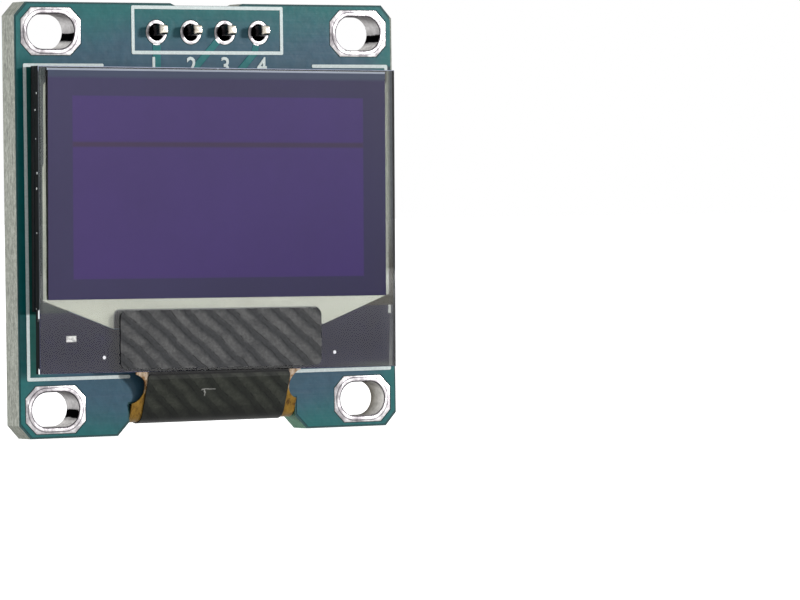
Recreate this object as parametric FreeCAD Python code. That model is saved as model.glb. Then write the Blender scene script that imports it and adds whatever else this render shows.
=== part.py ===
import FreeCAD, Part
import math
import os

# Small display module: a glass display panel stuck on the front of a circuit board, with a
# flexible lead folded through a notch to the back and a loose four-pin header.
# Lengths are millimetres. X runs to the right as seen from the front, Y to the back and Z up.
# The origin is the centre of the four fixing slots, on the outer face of their back pads.

# Board: bare laminate with copper, varnish and print on both faces
board_width = 28.2
board_height = 27.4
laminate_thickness = 1.53
corner_cut_x = 0.8
corner_cut_z = 0.85
copper_thickness = 0.035
mask_thickness = 0.025
mask_over_copper = 0.010
mask_wall = 0.06
mask_edge_margin = 0.12
mask_opening_margin = 0.05
print_thickness = 0.030
relief_width = 4.7
relief_depth = 0.15
relief_slope = 0.35

# Fixing slots, longer along X, with plated walls and eight-sided pads
slot_from_side_edge = 2.625
slot_below_top_edge = 1.85
slot_above_bottom_edge = 1.8
slot_length = 3.4
slot_width = 2.2
plating_wall = 0.03
slot_pad_length = 4.3
slot_pad_height = 3.0
slot_pad_corner = 0.75

# Four-pin header, dropped in from the back and left a little tipped
pin_count = 4
pin_pitch = 2.54
header_shift_x = 0.05
header_hole_radius = 0.55
header_pad_radius = 0.77
pin_width = 0.64
pin_point = 0.22
pin_length = 11.45
pin_in_front = 1.08
pin_clearance = 0.01
header_height = 2.5
header_depth = 2.5
header_notch = 0.45
header_end_margin = 0.05
header_tip_degrees = 5.0
header_seat_gap = 0.01

# Display panel, counted from the board outwards
foam_thickness = 0.25
foam_margin = 0.4
cap_thickness = 0.5
cap_recess_depth = 0.25
cap_wall = 1.6
cap_side_margin = 0.05
getter_thickness = 0.1
getter_margin = 1.0
seal_thickness = 0.03
seal_width = 1.0
seal_inset = 0.1
panel_from_side_edge = 0.8
panel_below_top_edge = 4.15
panel_above_bottom_edge = 3.99
panel_glass_thickness = 0.5
panel_centre_x = 0.07
panel_turn_degrees = 0.45
ledge_height = 3.9
polarizer_thickness = 0.15
polarizer_from_side = 0.7
polarizer_below_top = 0.13
polarizer_above_bottom = 4.63
active_from_polarizer_side = 1.75
active_above_polarizer_bottom = 1.28
active_shift_x = 0.25
active_below_top = 1.85
active_thickness = 0.012
film_thickness = 0.008
film_strip_inset = 0.35
film_strip_width = 0.23
film_strip_below_top = 0.85
film_under_polarizer = 0.3
film_slope_run = 5.1
film_above_chip = 0.13
chip_width = 6.8
chip_height = 0.95
chip_thickness = 0.3
chip_above_lead = 0.3
shield_width = 15.0
shield_below_polarizer = 0.73
shield_above_bottom = 0.2
shield_thickness = 0.08
shield_corner = 0.45

# Flexible lead: bonded behind the ledge, folded through the notch, soldered on the back
notch_depth = 2.0
notch_clearance = 0.06
notch_mouth_slope = 0.85
flex_thickness = 0.10
flex_width = 12.3
flex_centre_x = 0.1
flex_bond_length = 1.4
flex_straight_below_panel = 0.45
flex_lean_degrees = 20.0
flex_lift_off_board = 0.03
flex_fold_bottom_above_edge = 0.83
flex_relief_radius = 0.95
flex_relief_depth = 0.75
flex_relief_below_panel = 1.05
flex_tail_beside_fingers = 0.95
flex_tail_below_finger_top = 1.63
flex_shoulder_above_edge = 4.325
flex_tail_corner = 0.45
flex_hole_radius = 0.4
flex_hole_x = 8.0
flex_hole_below_shoulder = 0.95
fold_tape_thickness = 0.08
fold_tape_width = 10.6
fold_tape_up_back = 0.32
fold_tape_below_panel = 0.12
fold_tape_corner = 0.3

# Solder joints between the lead and the board
finger_count = 30
finger_pitch = 0.70
finger_width = 0.34
finger_shift_x = 0.13
finger_above_edge = 6.055
finger_length = 3.67
finger_height_on_lead = 0.05
finger_height_at_top = 0.05
unused_fingers = (0, 23, 29)

# Copper lines of the lead, seen on its back
line_width = 0.23
line_narrow_width = 0.15
line_thickness = 0.018
line_pitch_at_fold = 0.30
line_shift_at_fold = 0.1
line_start_drop = 0.85
line_slope = 0.52
line_stub_drop = 1.15
line_pad_radius = 0.26
line_pad_hole_radius = 0.09
line_pad_drop_short = 0.25
line_pad_drop_long = 0.55

# Small parts on the back: columns along X in one row, and one lying part
part_length = 1.6
part_width = 0.8
capacitor_height = 0.8
resistor_height = 0.45
terminal_length = 0.35
terminal_wall = 0.02
terminal_rounding = 0.05
resistor_coat_thickness = 0.02
resistor_coat_length = 0.86
solder_under_part = 0.03
solder_climb = 0.5
part_row_z = 2.03
row_from_right_edge = 2.58
row_from_left_edge = 1.5
# steps from one column to the next, from the right to the left, which share out the row's length
column_steps = (2.40, 2.42, 2.40, 2.73, 2.79, 2.64, 3.16, 2.80, 2.78)
columns_with_capacitors = (0, 1, 2, 7, 8, 9)
columns_with_resistors = (3, 4, 5, 6)
lying_part_x = -0.44
lying_part_above_fingers = 1.48
pad_width = 1.25
pad_outer_reach = 1.68
pad_inner_reach = 0.5

# Print on the board
print_line = 0.22
bracket_width = 2.03
bracket_reach = 2.17
bracket_gap = 1.3
lying_bracket_length = 4.2
lying_bracket_height = 2.35
lying_bracket_arm = 1.0
header_box_beside = 0.47
header_box_above = 0.185
header_box_shift_up = 0.135
panel_box_from_side_edge = 0.595
panel_box_above_panel = 0.17
panel_box_below_panel = 0.255
panel_box_shift_x = 0.105
panel_box_gap_top = 15.8
panel_box_gap_bottom = 12.51
lead_box_above_fingers = 0.69
lead_box_left_drop = 2.45
lead_box_right_drop = 4.2

# Copper lines of the board
power_width = 0.71
power_from_side_edge = 0.8
power_below_header = 2.135
power_corner_above_row = 1.97
power_foot_below_finger_top = 2.3
power_foot_run = 2.3
power_landing_beside_column = 0.47
bus_width = 1.04
bus_above_row = 1.17
second_bus_width = 0.5
second_bus_above_row = 1.0
second_bus_end_beside_column = 1.92
signal_width = 0.30
feed_width = 0.5
header_feed_width = 0.5
front_feed_width = 0.38
feed_bend_below_header = 1.31
loop_above_row = 2.84
loop_run = 1.4
# lines from a part's pad to the lead: column of the part, bend below the row, finger
lower_pad_lines = ((2, 2.83, 3), (3, 2.43, 4), (6, 4.73, 19), (7, 2.83, 24), (7, 2.83, 21),
                   (8, 2.88, 26), (9, 2.63, 28))
upper_pad_lines = ((8, 3.03, 25), (9, 3.08, 27))
shared_line_bend = 2.13
shared_line_finger = 2
left_via_finger = 11
bare_via_finger = 12
via_line_straight = 0.05
via_hole_radius = 0.21
via_pad_radius = 0.42
bare_via_hole_radius = 0.28
bare_via_pad_radius = 0.53
feed_via_x = -3.84
feed_via_below_header = 3.765
spare_via_x = -0.46
spare_via_below_header = 4.975
left_via_x = 1.55
bare_via_x = -0.15
vias_below_row = 2.14

# Places worked out from the sizes above
slot_spacing_x = board_width - 2 * slot_from_side_edge
slot_spacing_z = board_height - slot_below_top_edge - slot_above_bottom_edge
slot_row_z = slot_spacing_z / 2
board_top = slot_row_z + slot_below_top_edge
board_bottom = board_top - board_height
half_width = board_width / 2
back_face = -copper_thickness
front_face = back_face - laminate_thickness
ridge = copper_thickness + mask_over_copper
BACK = (back_face, 1)
FRONT = (front_face, -1)

header_z = slot_row_z
header_columns = [header_shift_x + (n - (pin_count - 1) / 2) * pin_pitch for n in range(pin_count)]
header_mid_y = (front_face + back_face) / 2

panel_width = board_width - 2 * panel_from_side_edge
panel_top = board_top - panel_below_top_edge
panel_bottom = board_bottom + panel_above_bottom_edge
panel_z = (panel_top + panel_bottom) / 2
panel_left = panel_centre_x - panel_width / 2
panel_right = panel_centre_x + panel_width / 2
polarizer_width = panel_width - 2 * polarizer_from_side
polarizer_bottom = panel_bottom + polarizer_above_bottom
cap_bottom = panel_bottom + ledge_height
chip_bottom = panel_bottom + flex_bond_length + chip_above_lead
foam_y = front_face - ridge
cap_y = foam_y - foam_thickness
seal_y = cap_y - cap_thickness
glass_y = seal_y - seal_thickness
glass_front_y = glass_y - panel_glass_thickness

flex_left = flex_centre_x - flex_width / 2
flex_right = flex_centre_x + flex_width / 2
flex_front_y = glass_y + flex_thickness / 2
flex_back_y = flex_lift_off_board + flex_thickness / 2
notch_top = board_bottom + notch_depth
notch_half = flex_width / 2 + notch_clearance
fold_bottom = board_bottom + flex_fold_bottom_above_edge
lean = math.radians(flex_lean_degrees)
lean_start_z = panel_bottom - flex_straight_below_panel
# The last bend touches the leaning run, the straight tail and the fold's lowest level
fold_run = (flex_back_y - flex_front_y) * math.cos(lean) + (fold_bottom - lean_start_z) * math.sin(lean)
fold_radius = fold_run / (1 + math.cos(lean) - math.sin(lean))
fold_y = flex_back_y - fold_radius
fold_z = fold_bottom + fold_radius
tail_y = flex_lift_off_board + flex_thickness
finger_bottom = board_bottom + finger_above_edge
finger_top = finger_bottom + finger_length
tail_top = finger_top - flex_tail_below_finger_top
tail_shoulder = board_bottom + flex_shoulder_above_edge
tail_middle = flex_centre_x - finger_shift_x
tail_half = (finger_count - 1) / 2 * finger_pitch + flex_tail_beside_fingers
lying_part_z = finger_top + lying_part_above_fingers

row_length = board_width - row_from_right_edge - row_from_left_edge
row_start = half_width - row_from_right_edge
part_columns = [row_start - row_length * sum(column_steps[:n]) / sum(column_steps)
                for n in range(len(column_steps) + 1)]
capacitor_columns = [part_columns[n] for n in columns_with_capacitors]
resistor_columns = [part_columns[n] for n in columns_with_resistors]
feed_via = (feed_via_x, header_z - feed_via_below_header)
spare_via = (spare_via_x, header_z - spare_via_below_header)
left_via = (left_via_x, part_row_z - vias_below_row)
bare_via = (bare_via_x, part_row_z - vias_below_row)

os.makedirs("parts", exist_ok=True)


def vector(x, y, z):
    return FreeCAD.Vector(x, y, z)


def save(name, pieces):
    shape = pieces if isinstance(pieces, Part.Shape) else Part.makeCompound(pieces)
    shape.exportStep("parts/" + name + ".step")


def union(pieces):
    if len(pieces) == 1:
        return pieces[0]
    return pieces[0].multiFuse(pieces[1:]).removeSplitter()


def box(x_low, x_high, y_low, y_high, z_low, z_high):
    return Part.makeBox(x_high - x_low, y_high - y_low, z_high - z_low, vector(x_low, y_low, z_low))


def prism(outline, y_low, y_high):
    """Solid of an outline of (x, z) points, from y_low to y_high."""
    corners = [vector(x, y_low, z) for x, z in outline]
    face = Part.Face(Part.makePolygon(corners + corners[:1]))
    return face.extrude(vector(0, y_high - y_low, 0))


def layer_span(side, low, high):
    """The y range of a layer that lies low to high outside one face of the laminate."""
    face_y, outward = side
    return sorted((face_y + outward * low, face_y + outward * high))


def layer(side, outline, low, high):
    return prism(outline, *layer_span(side, low, high))


def disc(x, z, radius, y_low, y_high):
    return Part.makeCylinder(radius, y_high - y_low, vector(x, y_low, z), vector(0, 1, 0))


def rectangle(x, z, width, height):
    left, right = x - width / 2, x + width / 2
    low, high = z - height / 2, z + height / 2
    return [(left, low), (right, low), (right, high), (left, high)]


def octagon(x, z, width, height, cut_x, cut_z):
    left, right = x - width / 2, x + width / 2
    low, high = z - height / 2, z + height / 2
    return [(left + cut_x, low), (right - cut_x, low), (right, low + cut_z), (right, high - cut_z),
            (right - cut_x, high), (left + cut_x, high), (left, high - cut_z), (left, low + cut_z)]


def slot(x, z, length, width, y_low, y_high):
    """Round-ended slot, longer along X."""
    reach = (length - width) / 2
    middle = box(x - reach, x + reach, y_low, y_high, z - width / 2, z + width / 2)
    ends = [disc(x + side * reach, z, width / 2, y_low, y_high) for side in (-1, 1)]
    return union([middle] + ends)


def stroke(points, width, y_low, y_high):
    """Line of one width along the points, with round ends and corners."""
    points = [point for n, point in enumerate(points) if n == 0 or point != points[n - 1]]
    pieces = [disc(x, z, width / 2, y_low, y_high) for x, z in points]
    for (x_a, z_a), (x_b, z_b) in zip(points, points[1:]):
        length = math.hypot(x_b - x_a, z_b - z_a)
        across_x = (z_a - z_b) / length * width / 2
        across_z = (x_b - x_a) / length * width / 2
        outline = [(x_a + across_x, z_a + across_z), (x_b + across_x, z_b + across_z),
                   (x_b - across_x, z_b - across_z), (x_a - across_x, z_a - across_z)]
        pieces.append(prism(outline, y_low, y_high))
    return union(pieces)


def tipped(shape):
    """The header's lean: it turns in its holes until the plastic's lower edge meets the board."""
    turned = shape.copy()
    turned.rotate(vector(0, header_mid_y, header_z), vector(1, 0, 0), -header_tip_degrees)
    return turned


def panel_turned(shape):
    """The panel is stuck on slightly askew, clockwise as seen from the front."""
    turned = shape.copy()
    turned.rotate(vector(panel_centre_x, 0, panel_z), vector(0, 1, 0), panel_turn_degrees)
    return turned


def finger_x(index):
    return tail_middle + ((finger_count - 1) / 2 - index) * finger_pitch


# Copper lines of the board, as lists of points with a width
def escape_points(column, start_z, turn_z, finger):
    """From a pad down, at 45 degrees across to a finger's column, and down to the finger."""
    target = finger_x(finger)
    return [(column, start_z), (column, turn_z), (target, turn_z - abs(target - column)), (target, finger_top)]


def loop_points(column, turn_z, finger):
    """From a part's upper pad over and down beside the part, then across to a finger."""
    beside = column + loop_run
    loop_z = part_row_z + loop_above_row
    path = [(column, part_row_z + bus_above_row), (column, loop_z)]
    return path + escape_points(beside, loop_z, turn_z, finger)


def power_points():
    """From the foot beside the lead up the right side, along under the header and down to a part."""
    column = half_width - power_from_side_edge
    foot = finger_top - power_foot_below_finger_top
    corner = part_row_z + power_corner_above_row
    crossing = header_z - power_below_header
    landing = capacitor_columns[3] + power_landing_beside_column
    bend = capacitor_columns[3] + second_bus_end_beside_column
    return [(column - power_foot_run, foot - power_foot_run), (column, foot), (column, corner),
            (column - (crossing - corner), crossing), (bend, crossing),
            (landing, crossing - (bend - landing)), (landing, part_row_z + bus_above_row)]


def back_tracks():
    r1, r2, r3, r4 = resistor_columns
    bus_z = part_row_z + bus_above_row
    second_bus_z = part_row_z + second_bus_above_row
    low_pad = part_row_z - pad_outer_reach + pad_inner_reach
    fourth = capacitor_columns[3]
    bend = fourth + second_bus_end_beside_column
    tracks = [(power_width, power_points()),
              (bus_width, [(half_width - power_from_side_edge, bus_z), (r1, bus_z)]),
              (second_bus_width, [(r2, second_bus_z), (bend, second_bus_z),
                                  (fourth, second_bus_z - second_bus_end_beside_column), (fourth, low_pad)]),
              (feed_width, [feed_via, (r3, feed_via[1] + feed_via[0] - r3), (r3, bus_z)])]
    between = (part_columns[0] + part_columns[1]) / 2
    shared = escape_points(between, low_pad, part_row_z - shared_line_bend, shared_line_finger)
    tracks.append((signal_width, [(part_columns[0], low_pad)] + shared))
    for (x, z), finger in ((left_via, left_via_finger), (bare_via, bare_via_finger)):
        tracks.append((signal_width, escape_points(x, z, z - via_line_straight, finger)))
    for column, drop, finger in lower_pad_lines:
        tracks.append((signal_width, escape_points(part_columns[column], low_pad, part_row_z - drop, finger)))
    for column, drop, finger in upper_pad_lines:
        tracks.append((signal_width, loop_points(part_columns[column], part_row_z - drop, finger)))
    return tracks


def front_tracks():
    first, third, fourth = header_columns[0], header_columns[2], header_columns[3]
    under_panel = panel_top - seal_width
    drop = header_z - under_panel
    bend = header_z - feed_bend_below_header
    beside = fourth - pin_width / 2
    return [(header_feed_width, [(first, header_z), (first, under_panel)]),
            (front_feed_width, [(third, header_z), (third - drop, under_panel)]),
            (front_feed_width, [(fourth, header_z), (beside, bend),
                                (beside - (bend - under_panel), under_panel)])]


# Holes and pads that the layers of the board share
slot_centres = [(side_x * slot_spacing_x / 2, side_z * slot_spacing_z / 2)
                for side_z in (1, -1) for side_x in (-1, 1)]
header_centres = [(x, header_z) for x in header_columns]
tented_vias = (feed_via, spare_via, left_via)


def pad_rectangles():
    """Centres and sizes of the solder pads under the small parts."""
    length = pad_outer_reach - pad_inner_reach
    middle = (pad_outer_reach + pad_inner_reach) / 2
    pads = []
    for column in part_columns:
        for side in (-1, 1):
            pads.append((column, part_row_z + side * middle, pad_width, length))
    for side in (-1, 1):
        pads.append((lying_part_x + side * middle, lying_part_z, length, pad_width))
    return pads


def board_outline(inset):
    """Outline of the board, drawn in by an inset, with its notch, corner cuts and top relief."""
    left, right = -half_width + inset, half_width - inset
    low, high = board_bottom + inset, board_top - inset
    inner = notch_half + inset
    mouth = inner + notch_mouth_slope
    return [(left, low + corner_cut_z), (left + corner_cut_x, low),
            (flex_centre_x - mouth, low), (flex_centre_x - inner, low + notch_mouth_slope),
            (flex_centre_x - inner, notch_top + inset), (flex_centre_x + inner, notch_top + inset),
            (flex_centre_x + inner, low + notch_mouth_slope), (flex_centre_x + mouth, low),
            (right - corner_cut_x, low), (right, low + corner_cut_z),
            (right, high - corner_cut_z), (right - corner_cut_x, high),
            (relief_width / 2 + relief_slope, high), (relief_width / 2, high - relief_depth),
            (-relief_width / 2, high - relief_depth), (-relief_width / 2 - relief_slope, high),
            (left + corner_cut_x, high), (left, high - corner_cut_z)]


def drilled(y_low, y_high, extra):
    """Cutters for every hole of the board, wider than the finished hole by an extra."""
    holes = [slot(x, z, slot_length + 2 * extra, slot_width + 2 * extra, y_low, y_high)
             for x, z in slot_centres]
    holes += [disc(x, z, header_hole_radius + extra, y_low, y_high) for x, z in header_centres]
    holes += [disc(x, z, via_hole_radius + extra, y_low, y_high) for x, z in tented_vias]
    holes.append(disc(bare_via[0], bare_via[1], bare_via_hole_radius + extra, y_low, y_high))
    return holes


def make_laminate():
    body = prism(board_outline(0), front_face, back_face)
    return body.cut(Part.makeCompound(drilled(front_face, back_face, plating_wall)))


def pad_shapes(side, low, high, grow):
    """Pads of slots, header holes and the bare via on one face, grown by a margin."""
    y_low, y_high = layer_span(side, low, high)
    pads = []
    for x, z in slot_centres:
        outline = octagon(x, z, slot_pad_length + 2 * grow, slot_pad_height + 2 * grow,
                          slot_pad_corner, slot_pad_corner)
        pads.append(prism(outline, y_low, y_high))
    pads += [disc(x, z, header_pad_radius + grow, y_low, y_high) for x, z in header_centres]
    pads.append(disc(bare_via[0], bare_via[1], bare_via_pad_radius + grow, y_low, y_high))
    return pads


def part_pads(low, high, grow):
    y_low, y_high = layer_span(BACK, low, high)
    return [prism(rectangle(x, z, width + 2 * grow, height + 2 * grow), y_low, y_high)
            for x, z, width, height in pad_rectangles()]


def finger_field(low, high):
    """The window in the varnish that bares all the finger pads at once."""
    y_low, y_high = layer_span(BACK, low, high)
    half = (finger_count / 2) * finger_pitch
    return box(tail_middle - half, tail_middle + half, y_low, y_high, finger_bottom, finger_top)


def finger_pads(low, high):
    y_low, y_high = layer_span(BACK, low, high)
    return [box(finger_x(n) - finger_width / 2, finger_x(n) + finger_width / 2, y_low, y_high,
                finger_bottom, finger_top) for n in range(finger_count)]


def track_shapes(side, tracks, low, high, grow):
    y_low, y_high = layer_span(side, low, high)
    return [stroke(points, width + 2 * grow, y_low, y_high) for width, points in tracks]


def make_copper(side, tracks, pads):
    """Etched copper of one face, apart from the pads that belong to plated holes."""
    span = layer_span(side, 0, copper_thickness)
    shapes = track_shapes(side, tracks, 0, copper_thickness, 0) + pads
    keep_off = pad_shapes(side, 0, copper_thickness, 0)
    keep_off += [disc(x, z, via_pad_radius, *span) for x, z in tented_vias]
    return union(shapes).cut(Part.makeCompound(keep_off))


def make_plated_hole(cutter_outer, cutter_inner, pads):
    """Copper wall of one hole with its pad on each face."""
    return union([cutter_outer] + pads).cut(cutter_inner)


def make_plated_slot(x, z):
    y_low = front_face - copper_thickness
    outer = slot(x, z, slot_length + 2 * plating_wall, slot_width + 2 * plating_wall, front_face, back_face)
    inner = slot(x, z, slot_length, slot_width, y_low, 0)
    outline = octagon(x, z, slot_pad_length, slot_pad_height, slot_pad_corner, slot_pad_corner)
    pads = [layer(side, outline, 0, copper_thickness) for side in (FRONT, BACK)]
    return make_plated_hole(outer, inner, pads)


def make_round_plated(x, z, hole_radius, pad_radius):
    y_low = front_face - copper_thickness
    outer = disc(x, z, hole_radius + plating_wall, front_face, back_face)
    inner = disc(x, z, hole_radius, y_low, 0)
    pads = [disc(x, z, pad_radius, *layer_span(side, 0, copper_thickness)) for side in (FRONT, BACK)]
    return make_plated_hole(outer, inner, pads)


def ridge_shapes(side, tracks):
    """Raised varnish, with the copper inside it, over each line and covered via."""
    span = layer_span(side, 0, ridge)
    ridges = track_shapes(side, tracks, 0, ridge, mask_wall)
    return ridges + [disc(x, z, via_pad_radius + mask_wall, *span) for x, z in tented_vias]


def make_mask(side, tracks, copper, openings):
    """Varnish over one face, standing a little higher where a copper line runs under it."""
    base = prism(board_outline(mask_edge_margin), *layer_span(side, 0, mask_thickness))
    ridges = ridge_shapes(side, tracks)
    holes = drilled(*layer_span(side, 0, ridge), 0)
    pads = pad_shapes(side, 0, ridge, mask_opening_margin)
    buried = [disc(x, z, via_pad_radius, *layer_span(side, 0, copper_thickness)) for x, z in tented_vias]
    cutters = Part.makeCompound([copper] + holes + pads + openings + buried)
    return union([base] + ridges).cut(cutters)


def print_span(side):
    return layer_span(side, mask_thickness, mask_thickness + print_thickness)


def make_front_print():
    span = print_span(FRONT)
    strokes = []
    box_z = header_z + header_box_shift_up
    half_w = pin_count * pin_pitch / 2 + header_box_beside
    half_h = header_height / 2 + header_box_above
    corners = [(header_shift_x - half_w, box_z - half_h), (header_shift_x + half_w, box_z - half_h),
               (header_shift_x + half_w, box_z + half_h), (header_shift_x - half_w, box_z + half_h)]
    strokes.append(stroke(corners + corners[:1], print_line, *span))
    reach = half_width - panel_box_from_side_edge
    left, right = panel_box_shift_x - reach, panel_box_shift_x + reach
    high, low = panel_top + panel_box_above_panel, panel_bottom - panel_box_below_panel
    for edge, centre in ((left, -1), (right, 1)):
        top_end = panel_box_shift_x + centre * panel_box_gap_top / 2
        low_end = panel_box_shift_x + centre * panel_box_gap_bottom / 2
        strokes.append(stroke([(top_end, high), (edge, high), (edge, low), (low_end, low)], print_line, *span))
    ridges = Part.makeCompound(ridge_shapes(FRONT, front_tracks()))
    return Part.makeCompound([piece.cut(ridges) for piece in strokes])


def bracket_strokes(column):
    """Two short lines above a part and an open-topped box below it."""
    left, right = column - bracket_width / 2 + print_line / 2, column + bracket_width / 2 - print_line / 2
    high, low = part_row_z + bracket_reach, part_row_z - bracket_reach
    upper, lower = part_row_z + bracket_gap / 2, part_row_z - bracket_gap / 2
    return [[(left, high), (left, upper)], [(right, high), (right, upper)],
            [(left, lower), (left, low), (right, low), (right, lower)]]


def make_back_print():
    span = print_span(BACK)
    lines = []
    for column in part_columns:
        lines += bracket_strokes(column)
    z = lying_part_z
    left, right = lying_part_x - lying_bracket_length / 2, lying_part_x + lying_bracket_length / 2
    low, high = z - lying_bracket_height / 2, z + lying_bracket_height / 2
    lines.append([(left + lying_bracket_arm, high), (left, high), (left, low), (left + lying_bracket_arm, low)])
    lines.append([(right - lying_bracket_arm, high), (right, high)])
    lines.append([(right - lying_bracket_arm, low), (right, low)])
    frame_top = finger_top + lead_box_above_fingers
    left, right = tail_middle - tail_half, tail_middle + tail_half
    lines.append([(left, frame_top - lead_box_right_drop), (left, frame_top),
                  (right, frame_top), (right, frame_top - lead_box_left_drop)])
    strokes = [stroke(points, print_line, *span) for points in lines]
    clear = [disc(bare_via[0], bare_via[1], bare_via_pad_radius + mask_opening_margin, *span),
             disc(left_via[0], left_via[1], via_pad_radius + mask_wall, *span)]
    return union(strokes).cut(Part.makeCompound(ridge_shapes(BACK, back_tracks()) + clear))


# Header: plastic strip with eight-sided segments, and square pins with sloped ends
def make_header_body():
    lean_angle = math.radians(header_tip_degrees)
    # distance along the pins from the board's middle to the plastic, with its lower edge seated
    reach = (header_seat_gap - header_mid_y + header_height / 2 * math.sin(lean_angle)) / math.cos(lean_angle)
    y_low = header_mid_y + reach
    y_high = y_low + header_depth
    segments = [prism(octagon(x, header_z, pin_pitch, header_height, header_notch, header_notch), y_low, y_high)
                for x in header_columns]
    body = union(segments)
    first, last = header_columns[0] - pin_pitch / 2, header_columns[-1] + pin_pitch / 2
    keep = box(first + header_end_margin, last - header_end_margin, y_low, y_high,
               header_z - header_height / 2, header_z + header_height / 2)
    passage = pin_width / 2 + pin_clearance
    holes = [box(x - passage, x + passage, y_low, y_high, header_z - passage, header_z + passage)
             for x in header_columns]
    return tipped(body.common(keep).cut(Part.makeCompound(holes)))


def make_pin(x):
    y_low = front_face - copper_thickness - pin_in_front
    y_high = y_low + pin_length
    half = pin_width / 2
    blunt = half - pin_point / 2

    def square(y, reach):
        corners = [vector(x - reach, y, header_z - reach), vector(x + reach, y, header_z - reach),
                   vector(x + reach, y, header_z + reach), vector(x - reach, y, header_z + reach)]
        return Part.makePolygon(corners + corners[:1])

    sections = [square(y_low, blunt), square(y_low + pin_point, half),
                square(y_high - pin_point, half), square(y_high, blunt)]
    return tipped(Part.makeLoft(sections, True, True))


# Display panel
def panel_block(x_low, x_high, z_low, z_high, y_low, y_high):
    return box(x_low, x_high, y_low, y_high, z_low, z_high)


def make_foam():
    return panel_turned(panel_block(panel_left + foam_margin, panel_right - foam_margin,
                                    cap_bottom + foam_margin, panel_top - foam_margin, cap_y, foam_y))


def make_cap_glass():
    """Back cover of the display, hollowed on the side of the display layer."""
    left, right = panel_left + cap_side_margin, panel_right - cap_side_margin
    cover = panel_block(left, right, cap_bottom, panel_top, seal_y, cap_y)
    hollow = panel_block(left + cap_wall, right - cap_wall, cap_bottom + cap_wall, panel_top - cap_wall,
                         seal_y, seal_y + cap_recess_depth)
    return panel_turned(cover.cut(hollow))


def make_getter():
    """Drying sheet stuck in the hollow of the cap."""
    inset = cap_side_margin + cap_wall + getter_margin
    y_high = seal_y + cap_recess_depth
    return panel_turned(panel_block(panel_left + inset, panel_right - inset, cap_bottom + inset,
                                    panel_top - inset, y_high - getter_thickness, y_high))


def film_shapes():
    """Silver conductor: a strip down each side and a broad field that narrows to the chip."""
    y_high = glass_y + film_thickness
    top = panel_top - film_strip_below_top
    edge_z = polarizer_bottom
    field_bottom = chip_bottom + chip_height + film_above_chip
    left, right = panel_left + film_strip_inset, panel_right - film_strip_inset
    strips = [box(left, left + film_strip_width, glass_y, y_high, edge_z, top),
              box(right - film_strip_width, right, glass_y, y_high, edge_z, top)]
    field = [(left, edge_z + film_under_polarizer), (left, edge_z),
             (left + film_slope_run, field_bottom), (right - film_slope_run, field_bottom),
             (right, edge_z), (right, edge_z + film_under_polarizer)]
    return union(strips + [prism(field, glass_y, y_high)])


def make_seal():
    left, right = panel_left + cap_side_margin + seal_inset, panel_right - cap_side_margin - seal_inset
    low, high = cap_bottom + seal_inset, panel_top - seal_inset
    ring = panel_block(left, right, low, high, glass_y, seal_y)
    inside = panel_block(left + seal_width, right - seal_width, low + seal_width, high - seal_width,
                         glass_y, seal_y)
    return panel_turned(ring.cut(inside).cut(film_shapes()))


def make_display_layer():
    centre = panel_centre_x + active_shift_x
    half = polarizer_width / 2 - active_from_polarizer_side
    low = polarizer_bottom + active_above_polarizer_bottom
    return panel_turned(panel_block(centre - half, centre + half, low, panel_top - active_below_top,
                                    glass_y, glass_y + active_thickness))


def make_panel_glass():
    return panel_turned(panel_block(panel_left, panel_right, panel_bottom, panel_top, glass_front_y, glass_y))


def make_polarizer():
    return panel_turned(panel_block(panel_centre_x - polarizer_width / 2, panel_centre_x + polarizer_width / 2,
                                    polarizer_bottom, panel_top - polarizer_below_top,
                                    glass_front_y - polarizer_thickness, glass_front_y))


def make_driver_chip():
    return panel_turned(panel_block(panel_centre_x - chip_width / 2, panel_centre_x + chip_width / 2,
                                    chip_bottom, chip_bottom + chip_height, glass_y, glass_y + chip_thickness))


def round_upright_edges(shape, radius):
    """Rounds the edges that run along Y."""
    edges = [edge for edge in shape.Edges
             if isinstance(edge.Curve, Part.Line) and abs(edge.Curve.Direction.y) > 0.99]
    return shape.makeFillet(radius, edges)


def make_light_shield():
    low, high = panel_bottom + shield_above_bottom, polarizer_bottom - shield_below_polarizer
    sheet = panel_block(panel_centre_x - shield_width / 2, panel_centre_x + shield_width / 2,
                        low, high, glass_front_y - shield_thickness, glass_front_y)
    return panel_turned(round_upright_edges(sheet, shield_corner))


# Flexible lead: one folded sheet
def folded_ribbon(x_low, x_high, inner, outer, front_top, back_top):
    """Sheet that follows the fold, from inner to outer beside the lead's middle surface."""
    n_y, n_z = math.cos(lean), math.sin(lean)
    touch = (fold_y - fold_radius * n_y, fold_z - fold_radius * n_z)
    bend_shift = math.tan(lean / 2)

    def side(offset):
        # positive offsets lie outside the fold
        radius = fold_radius + offset
        front = flex_front_y - offset
        corner_z = lean_start_z - offset * bend_shift
        low = (fold_y - radius * n_y, fold_z - radius * n_z)
        middle_angle = math.pi + (math.pi + lean) / 2
        middle = (fold_y + radius * math.cos(middle_angle), fold_z + radius * math.sin(middle_angle))
        end = (fold_y + radius, fold_z)
        return [(front, front_top), (front, corner_z), low, middle, end, (end[0], back_top)]

    def at(point):
        return vector(x_low, point[0], point[1])

    a, b = side(inner), side(outer)
    edges = []
    for run in (a, b):
        edges.append(Part.makeLine(at(run[0]), at(run[1])))
        edges.append(Part.makeLine(at(run[1]), at(run[2])))
        edges.append(Part.Arc(at(run[2]), at(run[3]), at(run[4])).toShape())
        edges.append(Part.makeLine(at(run[4]), at(run[5])))
    edges.append(Part.makeLine(at(a[0]), at(b[0])))
    edges.append(Part.makeLine(at(a[5]), at(b[5])))
    face = Part.Face(Part.Wire(Part.__sortEdges__(edges)))
    return face.extrude(vector(x_high - x_low, 0, 0))


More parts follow.
